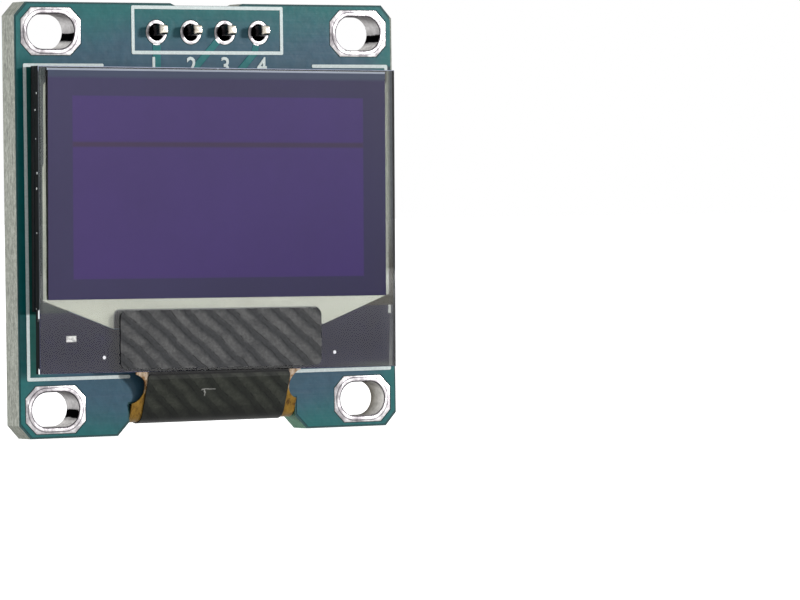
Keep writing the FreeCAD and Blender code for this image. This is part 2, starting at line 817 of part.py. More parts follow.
def make_flex():
    half = flex_thickness / 2
    overlap_top = fold_z + flex_thickness
    ribbon = folded_ribbon(flex_left, flex_right, -half, half, panel_bottom + flex_bond_length, overlap_top)
    relief_z = panel_bottom - flex_relief_below_panel
    cutters = []
    for edge, outward in ((flex_left, -1), (flex_right, 1)):
        centre = edge + outward * (flex_relief_radius - flex_relief_depth)
        cutters.append(disc(centre, relief_z, flex_relief_radius, glass_front_y, front_face))
    ribbon = ribbon.cut(Part.makeCompound(cutters))
    left, right = tail_middle - tail_half, tail_middle + tail_half
    shoulder = tail_shoulder
    outline = [(flex_left, fold_z), (flex_right, fold_z),
               (right - flex_tail_corner, shoulder - flex_tail_corner / 2),
               (right, shoulder + flex_tail_corner), (right, tail_top), (left, tail_top),
               (left, shoulder + flex_tail_corner), (left + flex_tail_corner, shoulder - flex_tail_corner / 2)]
    tail = prism(outline, flex_lift_off_board, tail_y)
    holes = [disc(tail_middle + side * flex_hole_x, shoulder - flex_hole_below_shoulder, flex_hole_radius,
                  flex_lift_off_board, tail_y) for side in (-1, 1)]
    return union([ribbon, tail]).cut(Part.makeCompound(holes))


def make_fold_tape():
    low = flex_centre_x - fold_tape_width / 2
    half = flex_thickness / 2
    sheet = folded_ribbon(low, low + fold_tape_width, half, half + fold_tape_thickness,
                          panel_bottom - fold_tape_below_panel, fold_z + fold_tape_up_back)
    return round_upright_edges(sheet, fold_tape_corner)


def lead_lines():
    """Points of each copper line of the lead, from its finger to the fold tape."""
    tape_top = fold_z + fold_tape_up_back
    middle = flex_centre_x - line_shift_at_fold
    first_end = middle + (finger_count - len(unused_fingers) - 1) / 2 * line_pitch_at_fold
    lines = []
    routed = 0
    skipped = 0
    for n in range(finger_count):
        start_x = finger_x(n)
        if n in unused_fingers:
            skipped += 1 if 0 < n < finger_count - 1 else 0
            lines.append([(start_x, finger_bottom), (start_x, finger_bottom - line_stub_drop)])
            continue
        end_x = first_end - routed * line_pitch_at_fold
        routed += 1
        turn_z = finger_bottom - line_start_drop + skipped * finger_pitch * line_slope
        land_z = turn_z - abs(start_x - end_x) * line_slope
        lines.append([(start_x, finger_bottom), (start_x, turn_z),
                      (end_x, max(land_z, tape_top)), (end_x, tape_top)])
    return lines


def make_lead_copper():
    y_high = tail_y + line_thickness
    tape_top = fold_z + fold_tape_up_back
    pieces = []
    for points in lead_lines():
        pieces.append(stroke(points[:3], line_width, tail_y, y_high))
        if len(points) > 3 and points[2][1] - points[3][1] > line_width:
            pieces.append(stroke(points[2:], line_narrow_width, tail_y, y_high))
    for n in range(finger_count):
        drop = line_pad_drop_short if n % 2 else line_pad_drop_long
        pieces.append(disc(finger_x(n), finger_bottom - drop, line_pad_radius, tail_y, y_high))
    holes = [disc(finger_x(n), finger_bottom - (line_pad_drop_short if n % 2 else line_pad_drop_long),
                  line_pad_hole_radius, tail_y, y_high) for n in range(finger_count)]
    keep = box(tail_middle - tail_half, tail_middle + tail_half, tail_y, y_high, tape_top, finger_bottom)
    return union(pieces).common(keep).cut(Part.makeCompound(holes))


def make_finger_joint(index):
    """Solder from a bared board pad over the lead's edge and down along its finger."""
    x = finger_x(index)
    low_y, film_y = 0, tail_y
    top_y = tail_y + finger_height_on_lead
    points = [(low_y, finger_top), (low_y + finger_height_at_top, finger_top), (top_y, tail_top + finger_width),
              (top_y, finger_bottom + finger_width), (film_y + finger_height_on_lead / 2, finger_bottom),
              (film_y, finger_bottom), (film_y, tail_top), (low_y, tail_top)]
    corners = [vector(x - finger_width / 2, y, z) for y, z in points]
    block = Part.Face(Part.makePolygon(corners + corners[:1])).extrude(vector(finger_width, 0, 0))
    rounded = stroke([(x, finger_top - finger_width / 2), (x, finger_bottom)], finger_width, low_y, top_y)
    return block.common(rounded)


# Small parts, each drawn upright in the row and turned if it lies along X
def placed(shape, column, turned):
    result = shape.copy()
    if turned:
        result.rotate(vector(0, 0, 0), vector(0, 1, 0), 90)
        result.translate(vector(column, 0, lying_part_z))
    else:
        result.translate(vector(column, 0, part_row_z))
    return result


def part_core(height):
    base = solder_under_part + terminal_wall
    return box(-part_width / 2, part_width / 2, base, base + height - 2 * terminal_wall,
               -part_length / 2 + terminal_wall, part_length / 2 - terminal_wall)


def part_terminals(height):
    y_low = solder_under_part
    half = part_width / 2 + terminal_wall
    ends = []
    for side in (-1, 1):
        z_a, z_b = side * (part_length / 2 - terminal_length), side * part_length / 2
        block = box(-half, half, y_low, y_low + height, min(z_a, z_b), max(z_a, z_b))
        outer = [edge for edge in block.Edges
                 if all(abs(vertex.Point.z - z_b) < terminal_wall for vertex in edge.Vertexes)]
        ends.append(block.makeFillet(terminal_rounding, outer).cut(part_core(height)))
    return ends


def part_solder(height):
    """Solder under each terminal and up its end face, sloping down over the pad."""
    half = part_width / 2
    climb = solder_under_part + height * solder_climb
    fillets = []
    for side in (-1, 1):
        profile = [(pad_outer_reach, 0), (pad_outer_reach, solder_under_part),
                   ((pad_outer_reach + part_length / 2) / 2, solder_under_part + height * solder_climb / 4),
                   (part_length / 2, climb), (part_length / 2, solder_under_part),
                   (part_length / 2 - terminal_length, solder_under_part), (pad_inner_reach, 0)]
        corners = [vector(-half, y, side * z) for z, y in profile]
        face = Part.Face(Part.makePolygon(corners + corners[:1]))
        slope = face.extrude(vector(part_width, 0, 0))
        film = box(-pad_width / 2, pad_width / 2, 0, solder_under_part,
                   min(side * pad_outer_reach, side * part_length / 2),
                   max(side * pad_outer_reach, side * part_length / 2))
        fillets.append(union([slope, film]))
    return fillets


def resistor_coat():
    base = solder_under_part + resistor_height - terminal_wall
    return box(-part_width / 2, part_width / 2, base, base + resistor_coat_thickness,
               -resistor_coat_length / 2, resistor_coat_length / 2)


# Write every piece
laminate = make_laminate()
save("laminate", laminate)

back_lands = part_pads(0, copper_thickness, 0) + finger_pads(0, copper_thickness)
copper_back = make_copper(BACK, back_tracks(), back_lands)
copper_front = make_copper(FRONT, front_tracks(), [])
save("copper_back", copper_back)
save("copper_front", copper_front)

for number, (x, z) in enumerate(slot_centres, 1):
    save("slot_plating_%d" % number, make_plated_slot(x, z))
for number, (x, z) in enumerate(header_centres, 1):
    save("header_hole_plating_%d" % number, make_round_plated(x, z, header_hole_radius, header_pad_radius))
save("via_plating", [make_round_plated(x, z, via_hole_radius, via_pad_radius) for x, z in tented_vias])
save("bare_via_plating", make_round_plated(bare_via[0], bare_via[1], bare_via_hole_radius, bare_via_pad_radius))

back_openings = part_pads(0, ridge, mask_opening_margin) + [finger_field(0, ridge)]
mask_back = make_mask(BACK, back_tracks(), copper_back, back_openings)
mask_front = make_mask(FRONT, front_tracks(), copper_front, [])
save("solder_mask_back", mask_back)
save("solder_mask_front", mask_front)
save("print_back", make_back_print())
save("print_front", make_front_print())

save("header_body", make_header_body())
for number, x in enumerate(header_columns, 1):
    save("header_pin_%d" % number, make_pin(x))

save("foam_tape", make_foam())
save("cap_glass", make_cap_glass())
save("getter_sheet", make_getter())
save("panel_seal", make_seal())
save("display_layer", make_display_layer())
save("conductor_film", panel_turned(film_shapes()))
save("panel_glass", make_panel_glass())
save("polarizer", make_polarizer())
save("driver_chip", make_driver_chip())
save("light_shield_tape", make_light_shield())

save("flex_lead", make_flex())
save("flex_lead_copper", make_lead_copper())
save("fold_tape", make_fold_tape())
save("finger_solder", [make_finger_joint(n) for n in range(finger_count)])

capacitor_places = [(column, False) for column in capacitor_columns] + [(lying_part_x, True)]
for number, (column, turned) in enumerate(capacitor_places, 1):
    save("capacitor_%d_body" % number, placed(part_core(capacitor_height), column, turned))
    save("capacitor_%d_terminals" % number,
         [placed(end, column, turned) for end in part_terminals(capacitor_height)])
for number, column in enumerate(resistor_columns, 1):
    save("resistor_%d_body" % number, placed(part_core(resistor_height), column, False))
    save("resistor_%d_terminals" % number,
         [placed(end, column, False) for end in part_terminals(resistor_height)])
save("resistor_coats", [placed(resistor_coat(), column, False) for column in resistor_columns])

solder = []
for column, turned in capacitor_places:
    solder += [placed(fillet, column, turned) for fillet in part_solder(capacitor_height)]
for column in resistor_columns:
    solder += [placed(fillet, column, False) for fillet in part_solder(resistor_height)]
save("part_solder", solder)
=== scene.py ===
import math

import bmesh
import bpy
from mathutils import Matrix, Vector, noise


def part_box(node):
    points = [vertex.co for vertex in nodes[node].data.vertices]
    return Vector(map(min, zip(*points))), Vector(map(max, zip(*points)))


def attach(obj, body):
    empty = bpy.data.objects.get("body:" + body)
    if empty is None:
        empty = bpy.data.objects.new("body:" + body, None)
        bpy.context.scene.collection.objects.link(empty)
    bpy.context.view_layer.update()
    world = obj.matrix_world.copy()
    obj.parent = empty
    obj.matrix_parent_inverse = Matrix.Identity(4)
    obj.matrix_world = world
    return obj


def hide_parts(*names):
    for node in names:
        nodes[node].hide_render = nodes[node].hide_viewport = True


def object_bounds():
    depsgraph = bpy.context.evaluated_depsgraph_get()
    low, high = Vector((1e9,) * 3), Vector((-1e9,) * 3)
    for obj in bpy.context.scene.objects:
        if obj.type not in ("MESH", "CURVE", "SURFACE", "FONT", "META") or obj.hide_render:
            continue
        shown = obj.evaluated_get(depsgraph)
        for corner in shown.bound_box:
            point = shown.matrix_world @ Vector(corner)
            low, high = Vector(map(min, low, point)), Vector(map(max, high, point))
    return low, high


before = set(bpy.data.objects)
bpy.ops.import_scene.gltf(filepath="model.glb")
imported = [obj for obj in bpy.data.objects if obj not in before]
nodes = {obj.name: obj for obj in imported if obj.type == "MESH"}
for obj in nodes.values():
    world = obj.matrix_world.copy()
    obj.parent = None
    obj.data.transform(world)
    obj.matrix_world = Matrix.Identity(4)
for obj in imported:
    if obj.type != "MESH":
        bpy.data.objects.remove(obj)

MM = 0.001
cad_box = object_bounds()
scene = bpy.context.scene
scene.view_settings.view_transform = "Standard"


# Camera: a long lens at reading distance, about 31 degrees to the left of the display's normal
# and almost level with it, leaning slightly, with the module at the upper left of the picture.
def in_scene(name, data):
    """A new object of the scene."""
    item = bpy.data.objects.new(name, data)
    scene.collection.objects.link(item)
    return item


def direction(azimuth, elevation):
    """Where a place lies as seen from the module; azimuth counts from straight ahead to the right."""
    azimuth, elevation = math.radians(azimuth), math.radians(elevation)
    return Vector((math.sin(azimuth) * math.cos(elevation), -math.cos(azimuth) * math.cos(elevation),
                   math.sin(elevation)))


lean = math.radians(-0.745)
aim, distance = Vector((0, -1.6, 0.055)) * MM, 344.85 * MM
shift_right, shift_down = 0.03534, 0.01529
back = direction(-31.38, 0.175)
level_right = (-back).cross(Vector((0, 0, 1))).normalized()
level_up = level_right.cross(-back)
right = level_right * math.cos(lean) + level_up * math.sin(lean)
up = level_up * math.cos(lean) - level_right * math.sin(lean)
forward = (-back + right * shift_right - up * shift_down).normalized()
right = (right - forward * right.dot(forward)).normalized()
up = right.cross(forward)
camera_data = bpy.data.cameras.new("camera")
camera_data.sensor_width = 36
camera_data.lens = 242.6
camera = in_scene("camera", camera_data)
turn = Matrix((right, up, -forward)).transposed().to_4x4()
camera.matrix_world = Matrix.Translation(aim + back * distance) @ turn
scene.camera = camera


# Studio: a pale floor under the standing module, white surroundings and two soft lamps, one in front
# to the right of the display and one behind, to the right of the board's back as seen from there.
def add(tree, kind, inputs=None, **settings):
    """A shader node with its settings; an input takes a value or another node's output."""
    node = tree.nodes.new("ShaderNode" + kind)
    for name, value in settings.items():
        setattr(node, name, value)
    for key, value in (inputs or {}).items():
        if isinstance(value, bpy.types.NodeSocket):
            tree.links.new(value, node.inputs[key])
        else:
            node.inputs[key].default_value = value
    return node


def maths(tree, operation, first, second=0.0, third=0.0):
    return add(tree, "Math", {0: first, 1: second, 2: third}, operation=operation).outputs[0]


def times(tree, first, second):
    return maths(tree, "MULTIPLY", first, second)


def seen_directly(tree):
    """One for the rays by which the camera, gloss and glass see the surroundings."""
    path = add(tree, "LightPath")
    seen = maths(tree, "MAXIMUM", path.outputs["Is Camera Ray"], path.outputs["Is Glossy Ray"])
    return maths(tree, "MAXIMUM", seen, path.outputs["Is Transmission Ray"])


def studio_lamp(name, azimuth, elevation, distance, size, level):
    """A square lamp that lights a white surface facing it to the level."""
    towards = direction(azimuth, elevation)
    light = bpy.data.lights.new(name, "AREA")
    light.size = size
    light.energy = level * math.pi ** 2 * distance ** 2
    facing = towards.to_track_quat("Z", "Y").to_matrix().to_4x4()
    in_scene(name, light).matrix_world = Matrix.Translation(towards * distance) @ facing


world = bpy.data.worlds.new("surroundings")
scene.world = world
world.use_nodes = True
tree = world.node_tree
seen_level, lighting_level = 1.0, 0.48
brightness = maths(tree, "MULTIPLY_ADD", seen_directly(tree), seen_level - lighting_level, lighting_level)
background = tree.nodes["Background"]
background.inputs["Color"].default_value = (1, 1, 1, 1)
tree.links.new(brightness, background.inputs["Strength"])

studio_lamp("front_lamp", 47, 9, 0.8, 0.08, 0.86)
studio_lamp("back_lamp", 236, 9, 0.8, 0.15, 0.9)

floor_z = cad_box[0][2] - 0.02 * MM
floor_mesh = bmesh.new()
bmesh.ops.create_grid(floor_mesh, x_segments=1, y_segments=1, size=3.0)
bmesh.ops.translate(floor_mesh, vec=(0, 0, floor_z), verts=floor_mesh.verts)
floor_data = bpy.data.meshes.new("floor")
floor_mesh.to_mesh(floor_data)
floor = in_scene("floor", floor_data)
floor_paint = bpy.data.materials.new("floor_paint")
floor_paint.use_nodes = True
tree, floor_level = floor_paint.node_tree, 0.78
shader = tree.nodes["Principled BSDF"]
for socket, value in (("Base Color", (0.85, 0.85, 0.85, 1)), ("Roughness", 0.9), ("Specular IOR Level", 0.0),
                      ("Emission Color", (1, 1, 1, 1))):
    shader.inputs[socket].default_value = value
glow = times(tree, seen_directly(tree), floor_level)
tree.links.new(glow, shader.inputs["Emission Strength"])
floor_data.materials.append(floor_paint)


# Board: glass cloth in pale resin, cut with a router. Only its rim, its notch and the walls of its
# holes are bare, and there the plies of cloth show as fine grey streaks; the notch is darkened green
# by painted shade, and a painted highlight runs down the right edge of the front face.
def colour(red, green, blue):
    """Screen values from 0 to 255 as the linear colour that a shader takes."""
    return tuple(((c / 255 + 0.055) / 1.055) ** 2.4 for c in (red, green, blue)) + (1.0,)


def place_mm(tree):
    """Object coordinates in millimetres."""
    place = add(tree, "TexCoord").outputs["Object"]
    return add(tree, "VectorMath", {0: place, "Scale": 1 / MM}, operation="SCALE").outputs[0]


def new_material(name, **settings):
    """A material, its tree and shader, and its place in millimetres; settings name the shader's sockets."""
    material = bpy.data.materials.new(name)
    material.use_nodes = True
    shader = material.node_tree.nodes["Principled BSDF"]
    for socket, value in settings.items():
        shader.inputs[socket.replace("_", " ")].default_value = value
    return material, material.node_tree, shader, place_mm(material.node_tree)


def feed(tree, output, shader, socket="Base Color"):
    tree.links.new(output, shader.inputs[socket])


def axes(tree, position):
    """The three parts of a position: across, through and upward."""
    return add(tree, "SeparateXYZ", {0: position}).outputs


def vector_maths(tree, operation, *operands):
    node = add(tree, "VectorMath", dict(enumerate(operands)), operation=operation)
    return node.outputs["Value" if operation in ("LENGTH", "DISTANCE") else "Vector"]


def mapped(tree, position, scale=(1, 1, 1), turn=(0, 0, 0)):
    angles = [math.radians(angle) for angle in turn]
    return add(tree, "Mapping", {"Vector": position, "Scale": scale, "Rotation": angles}).outputs[0]


def cloud(tree, position, frequency, detail=3.0, roughness=0.55):
    """Noise with its number of lumps to the millimetre."""
    return add(tree, "TexNoise", {"Vector": position, "Scale": frequency, "Detail": detail,
                                  "Roughness": roughness}).outputs[0]


def spread(tree, value, low, high, out_low=0.0, out_high=1.0, smooth=False):
    kind = "SMOOTHSTEP" if smooth else "LINEAR"
    return add(tree, "MapRange", {0: value, 1: low, 2: high, 3: out_low, 4: out_high},
               interpolation_type=kind).outputs[0]


def blended(tree, factor, first, second, blend_type="MIX"):
    return add(tree, "Mix", {0: factor, 6: first, 7: second}, data_type="RGBA",
               blend_type=blend_type).outputs[2]


def ramp(tree, value, stops):
    """Colours along a value, each stop a place and a colour."""
    node = add(tree, "ValToRGB", {0: value})
    elements = node.color_ramp.elements
    while len(elements) < len(stops):
        elements.new(0.5)
    for element, (at, tint) in zip(elements, stops):
        element.position = at
        element.color = tint
    return node.outputs[0]


def bumps(tree, shader, height, depth_mm):
    """Gives the surface relief of a depth."""
    relief = add(tree, "Bump", {"Height": height, "Distance": depth_mm * MM}).outputs[0]
    feed(tree, relief, shader, "Normal")


def new_group(name, inputs, outputs):
    """A shader node group with named inputs and outputs, each a name, a kind and a default."""
    group = bpy.data.node_groups.new(name, "ShaderNodeTree")
    for side, sockets in (("INPUT", inputs), ("OUTPUT", outputs)):
        for socket_name, kind, default in sockets:
            socket = group.interface.new_socket(name=socket_name, in_out=side,
                                                socket_type="NodeSocket" + kind)
            if default is not None:
                socket.default_value = default
    return group, group.nodes.new("NodeGroupInput").outputs, group.nodes.new("NodeGroupOutput").inputs


def use(tree, group, **inputs):
    """The outputs of a group's node; inputs name its sockets."""
    named = {name.replace("_", " "): value for name, value in inputs.items()}
    return add(tree, "Group", named, node_tree=group).outputs


grain_group, given, made = new_group(
    "fine_grain",
    [("Position", "Vector", None), ("Colour", "Color", (0.5, 0.5, 0.5, 1)), ("Frequency", "Float", 5.0),
     ("Contrast", "Float", 0.2)],
    [("Colour", "Color", None), ("Height", "Float", None)])
lumps = cloud(grain_group, given["Position"], given["Frequency"], 5.0, 0.65)
grain_group.links.new(lumps, made["Height"])
darkest = maths(grain_group, "SUBTRACT", 1.0, given["Contrast"])
lightest = maths(grain_group, "ADD", 1.0, given["Contrast"])
factor = spread(grain_group, lumps, 0.3, 0.7, darkest, lightest)
tinted = add(grain_group, "VectorMath", {0: given["Colour"], "Scale": factor}, operation="SCALE").outputs[0]
grain_group.links.new(tinted, made["Colour"])


def grain(tree, position, tone, frequency, contrast, shader=None):
    """The tone with fine grain, so many lumps to the millimetre, fed to the shader if one is given."""
    grained = use(tree, grain_group, Position=position, Colour=tone, Frequency=frequency, Contrast=contrast)
    if shader:
        feed(tree, grained["Colour"], shader)
    return grained


def finish(piece, material, replaced=()):
    """Gives a new piece its material, hides the solids it stands for and ties it to the module."""
    for part in (material if isinstance(material, tuple) else [material]):
        piece.data.materials.append(part)
    if replaced:
        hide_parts(*replaced)
    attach(piece, "root")


def dress(node_names, material):
    """Gives solids of the frame their material."""
    for name in node_names:
        mesh = nodes[name].data
        mesh.materials.clear()
        mesh.materials.append(material)


rectangle_group, given, made = new_group(
    "rectangle_mask",
    [("Position", "Vector", None), ("Centre", "Vector", None), ("Half Size", "Vector", (1, 1, 1)),
     ("Softness", "Float", 0.05)],
    [("Mask", "Float", None)])
shifted = vector_maths(rectangle_group, "SUBTRACT", given["Position"], given["Centre"])
folded = vector_maths(rectangle_group, "ABSOLUTE", shifted)
beyond = axes(rectangle_group, vector_maths(rectangle_group, "SUBTRACT", folded, given["Half Size"]))
furthest = maths(rectangle_group, "MAXIMUM", beyond[0], beyond[2])
inner = times(rectangle_group, given["Softness"], -1.0)
mask = spread(rectangle_group, furthest, inner, given["Softness"], 1.0, 0.0, smooth=True)
rectangle_group.links.new(mask, made["Mask"])


def rectangle(tree, position, x, z, half_x, half_z, softness=0.05):
    """One inside a rectangle on the board's face, in millimetres, and nought outside."""
    return use(tree, rectangle_group, Position=position, Centre=(x, 0, z), Half_Size=(half_x, 1, half_z),
               Softness=softness)["Mask"]


def wavering(tree, position, frequency, reach):
    """Positions pushed about by noise, which makes a mask's outline ragged."""
    lumps = add(tree, "TexNoise", {"Vector": position, "Scale": frequency, "Detail": 4.0}).outputs[1]
    centred = vector_maths(tree, "SUBTRACT", lumps, (0.5, 0.5, 0.5))
    return vector_maths(tree, "MULTIPLY_ADD", centred, (reach, reach, reach), position)


laminate, tree, shader, place = new_material("glass_cloth_board", Roughness=0.62, Specular_IOR_Level=0.3)
plies = cloud(tree, mapped(tree, place, scale=(0.9, 9, 0.9)), 1.0, 4.0)
threads = cloud(tree, mapped(tree, place, scale=(3.5, 8, 3.5)), 1.0, 4.0, 0.7)
mixed = maths(tree, "MULTIPLY_ADD", threads, 0.6, times(tree, plies, 0.4))
cloth = ramp(tree, mixed, [(0.34, colour(78, 82, 76)), (0.48, colour(118, 121, 112)),
                           (0.62, colour(150, 153, 144))])
across, _, upward = axes(tree, wavering(tree, place, 1.5, 0.12))
depth = axes(tree, place)[1]
# The notch is painted a darker green: painted shade in the recess.
notch = rectangle(tree, wavering(tree, place, 1.0, 0.8), 0.1, -12.9, 8.3, 1.5, 0.3)
cloth = blended(tree, times(tree, notch, 0.75), cloth, colour(52, 112, 88))
on_front = spread(tree, depth, -1.55, -1.562)
faces = maths(tree, "MAXIMUM", on_front, spread(tree, depth, -0.05, -0.038))
# The front face stays pale along the right edge, fading out near the bottom: a painted highlight.
right_edge_highlight = times(tree, on_front, spread(tree, across, 13.90, 13.96))
right_edge_highlight = times(tree, right_edge_highlight, spread(tree, upward, -10.5, -8.5))
faces = maths(tree, "SUBTRACT", faces, times(tree, right_edge_highlight, 0.9))
cloth = blended(tree, faces, cloth, colour(6, 58, 60))
grain(tree, place, cloth, 11.0, 0.16, shader)
bumps(tree, shader, threads, 0.03)
dress(["laminate"], laminate)


# Copper: etched lines, pads and the plated walls of slots and holes, all dipped in hot tin and
# blown level, which leaves the tin soft-edged, mottled and a little streaky. Painted shade darkens the
# pads at the slots' rims and the insides of the holes, and the slot walls carry painted reflections and
# shade.
def welded(node_name, flat_angle=None, slivers_out=False):
    """A solid's form with its points joined and, within an angle, its triangles made flat faces."""
    apart, sliver = 0.0008 * MM, 0.0005 * MM
    form = bmesh.new()
    form.from_mesh(nodes[node_name].data)
    bmesh.ops.remove_doubles(form, verts=form.verts, dist=apart)
    if slivers_out:
        bmesh.ops.dissolve_degenerate(form, edges=form.edges, dist=sliver)
    if flat_angle:
        bmesh.ops.dissolve_limit(form, angle_limit=math.radians(flat_angle), verts=form.verts,
                                 edges=form.edges)
    return form


def joined_copy(name, node_name, bevel, segments):
    """A smooth copy of a solid with its sharp edges rounded over."""
    form = welded(node_name, 2, slivers_out=True)
    sharp = math.radians(25)
    edges = [edge for edge in form.edges if len(edge.link_faces) == 2 and edge.calc_face_angle() > sharp]
    bmesh.ops.bevel(form, geom=edges, offset=bevel * MM, segments=segments, profile=0.5, affect="EDGES",
                    material=-1, clamp_overlap=True)
    return to_piece(name, form)


def to_piece(name, form, smooth_angle=40.0):
    mesh = bpy.data.meshes.new(name)
    form.to_mesh(mesh)
    form.free()
    mesh.shade_smooth()
    mesh.set_sharp_from_angle(angle=math.radians(smooth_angle))
    return in_scene(name, mesh)


tin_paint, tree, shader, place = new_material("hot_tin", Metallic=1.0)
mottle = cloud(tree, place, 1.6, 5.0, 0.6)
tin = ramp(tree, mottle, [(0.32, colour(122, 118, 121)), (0.5, colour(162, 158, 160)),
                          (0.66, colour(196, 193, 193))])
across, through, upward = axes(tree, place)
slot_x, slot_z, slot_straight, slot_radius = 11.475, 11.875, 0.6, 1.1
beside = maths(tree, "ABSOLUTE", maths(tree, "SUBTRACT", maths(tree, "ABSOLUTE", across), slot_x))
beside = maths(tree, "MAXIMUM", maths(tree, "SUBTRACT", beside, slot_straight), 0.0)
over = maths(tree, "SUBTRACT", maths(tree, "ABSOLUTE", upward), slot_z)
reach = vector_maths(tree, "LENGTH", add(tree, "CombineXYZ", {0: beside, 2: over}).outputs[0])
from_slot = maths(tree, "SUBTRACT", reach, slot_radius)
grey, white = colour(150, 148, 152), (1.0, 1.0, 1.0, 1.0)
# The pads darken towards the slots' edges, painted shade on their rounded rims, with a grey line further out.
ring_with_rim_shade = ramp(tree, maths(tree, "ADD", from_slot, 0.1),
            [(0.1, colour(60, 58, 62)), (0.16, colour(104, 102, 106)), (0.20, white), (0.33, white),
             (0.36, grey), (0.40, grey), (0.44, white)])
tin = blended(tree, 1.0, tin, ring_with_rim_shade, "MULTIPLY")
# Inside the holes the tin is painted near-black: painted shade in the recess.
hole_shade = times(tree, spread(tree, through, -1.52, -1.40, smooth=True),
                spread(tree, through, -0.10, -0.20, smooth=True))
feed(tree, blended(tree, hole_shade, tin, colour(14, 13, 14)), shader)
feed(tree, spread(tree, cloud(tree, place, 3.0), 0.3, 0.7, 0.28, 0.5), shader, "Roughness")
bumps(tree, shader, maths(tree, "ADD", mottle, cloud(tree, place, 9.0, 3.0)), 0.009)

slot_wall_light_and_shade, tree, shader, place = new_material("tinned_slot_wall", Roughness=0.5, Specular_IOR_Level=0.0)
streaks = cloud(tree, mapped(tree, place, scale=(5, 0.8, 5)), 1.0, 4.0, 0.65)
across, through, upward = axes(tree, place)
# The walls are painted light near the top, with a black band and lighter again below: painted reflections and
# shade. In the lower right slot they are painted darker towards the back instead: painted shade deeper in the
# slot.
level = maths(tree, "SUBTRACT", upward, times(tree, maths(tree, "SIGN", upward), slot_z))
level = maths(tree, "ADD", level, maths(tree, "MULTIPLY_ADD", streaks, 0.4, -0.2))
wall = ramp(tree, spread(tree, level, -1.1, 1.1),
            [(0.0, colour(214, 212, 210)), (0.14, colour(190, 188, 186)), (0.22, colour(130, 128, 128)),
             (0.25, colour(1, 1, 2)), (0.45, colour(1, 1, 2)), (0.47, colour(150, 148, 148)),
             (0.70, colour(186, 184, 184)), (0.95, colour(150, 148, 148))])
deepening_shade = blended(tree, spread(tree, through, -1.5, -0.1), colour(196, 194, 190), colour(96, 92, 84))
right_low = times(tree, spread(tree, upward, 2.0, -2.0), spread(tree, across, -2.0, 2.0))
wall = blended(tree, right_low, wall, deepening_shade)
grain(tree, place, wall, 3.0, 0.25, shader)
board_middle_y, wall_half_depth = -0.8 * MM, 0.3 * MM
for number in range(1, 5):
    slot, hole = "slot_plating_%d" % number, "header_hole_plating_%d" % number
    slot_tin = joined_copy("tinned_slot_%d" % number, slot, 0.016, 3)
    for face in slot_tin.data.polygons:
        if abs(face.normal.y) < 0.3 and abs(face.center.y - board_middle_y) < wall_half_depth:
            face.material_index = 1
    finish(slot_tin, (tin_paint, slot_wall_light_and_shade), [slot])
    finish(joined_copy("tinned_hole_%d" % number, hole, 0.014, 3), tin_paint, [hole])
dress(["bare_via_plating", "copper_back", "copper_front"], tin_paint)


def grained_material(name, tone, frequency, contrast, **settings):
    """A material of one grained colour, with its tree, its shader and the height of the grain."""
    material, tree, shader, place = new_material(name, **settings)
    return material, tree, shader, grain(tree, place, tone, frequency, contrast, shader)["Height"]


dress(["via_plating"],
      grained_material("covered_via_wall", colour(96, 110, 92), 6.0, 0.3, Metallic=1.0, Roughness=0.4)[0])


# Varnish: green-blue resist over both faces, thicker where it lies on bare cloth, thin and bright
# green where a copper line lifts it, and greener along the rim of the board. Away from the rim it is
# painted a bluer slate, a painted reflection; on the front, strips by the display carry painted shadow.
def varnish(name, inside, rim, line, foot_shade_from, lifted_from):
    """The resist of one face; its lines stand out where it rises past two levels, with painted shade at their
    feet.
    """
    material, tree, shader, place = new_material(name, Roughness=0.32, Specular_IOR_Level=0.12,
                                                 Coat_Weight=0.04, Coat_Roughness=0.12)
    # Away from the rim the varnish is painted a bluer slate: a painted reflection on the greener base.
    middle = rectangle(tree, wavering(tree, place, 0.25, 2.6), 0.3, -0.2, 12.4, 12.4, 1.7)
    ground = blended(tree, middle, rim, inside)
    _, height, upward = axes(tree, place)
    in_front = spread(tree, height, -1.4, -1.5)
    # On the front: painted shadow of the display in a strip along the left margin, darker below the cap
    # glass, and in a strip beside the glass, and painted shade along the right margin.
    shaded_strip = rectangle(tree, wavering(tree, place, 0.8, 0.6), -13.6, 0.2, 0.75, 10.0, 0.4)
    panel_shadow_tint = blended(tree, spread(tree, upward, -5.6, -6.0), colour(0, 80, 82), colour(0, 64, 66))
    glass_shadow_strip = rectangle(tree, wavering(tree, place, 0.8, 0.4), -13.0, 0.0, 0.42, 9.75, 0.12)
    right_margin_shade = rectangle(tree, place, 14.0, 0.0, 0.35, 9.75, 0.1)
    for strip, tint in ((shaded_strip, panel_shadow_tint), (glass_shadow_strip, colour(28, 84, 78)),
                        (right_margin_shade, colour(24, 50, 58))):
        ground = blended(tree, times(tree, strip, in_front), ground, tint)
    brushed = cloud(tree, mapped(tree, place, scale=(0.12, 1, 3.2)), 1.0, 4.0)
    ground = blended(tree, spread(tree, brushed, 0.35, 0.7, 0.0, 0.12), ground, colour(8, 84, 84))
    lifted = spread(tree, height, *lifted_from)
    painted = blended(tree, lifted, ground, line)
    # Painted shade at the feet of the raised lines.
    foot = times(tree, spread(tree, height, *foot_shade_from), spread(tree, lifted, 0.6, 0.1))
    painted = blended(tree, times(tree, foot, 0.75), painted, colour(4, 52, 58))
    grain(tree, place, painted, 2.2, 0.1, shader)
    skin = maths(tree, "ADD", cloud(tree, place, 1.1, 2.0), times(tree, brushed, 0.6))
    bumps(tree, shader, skin, 0.02)
    return material


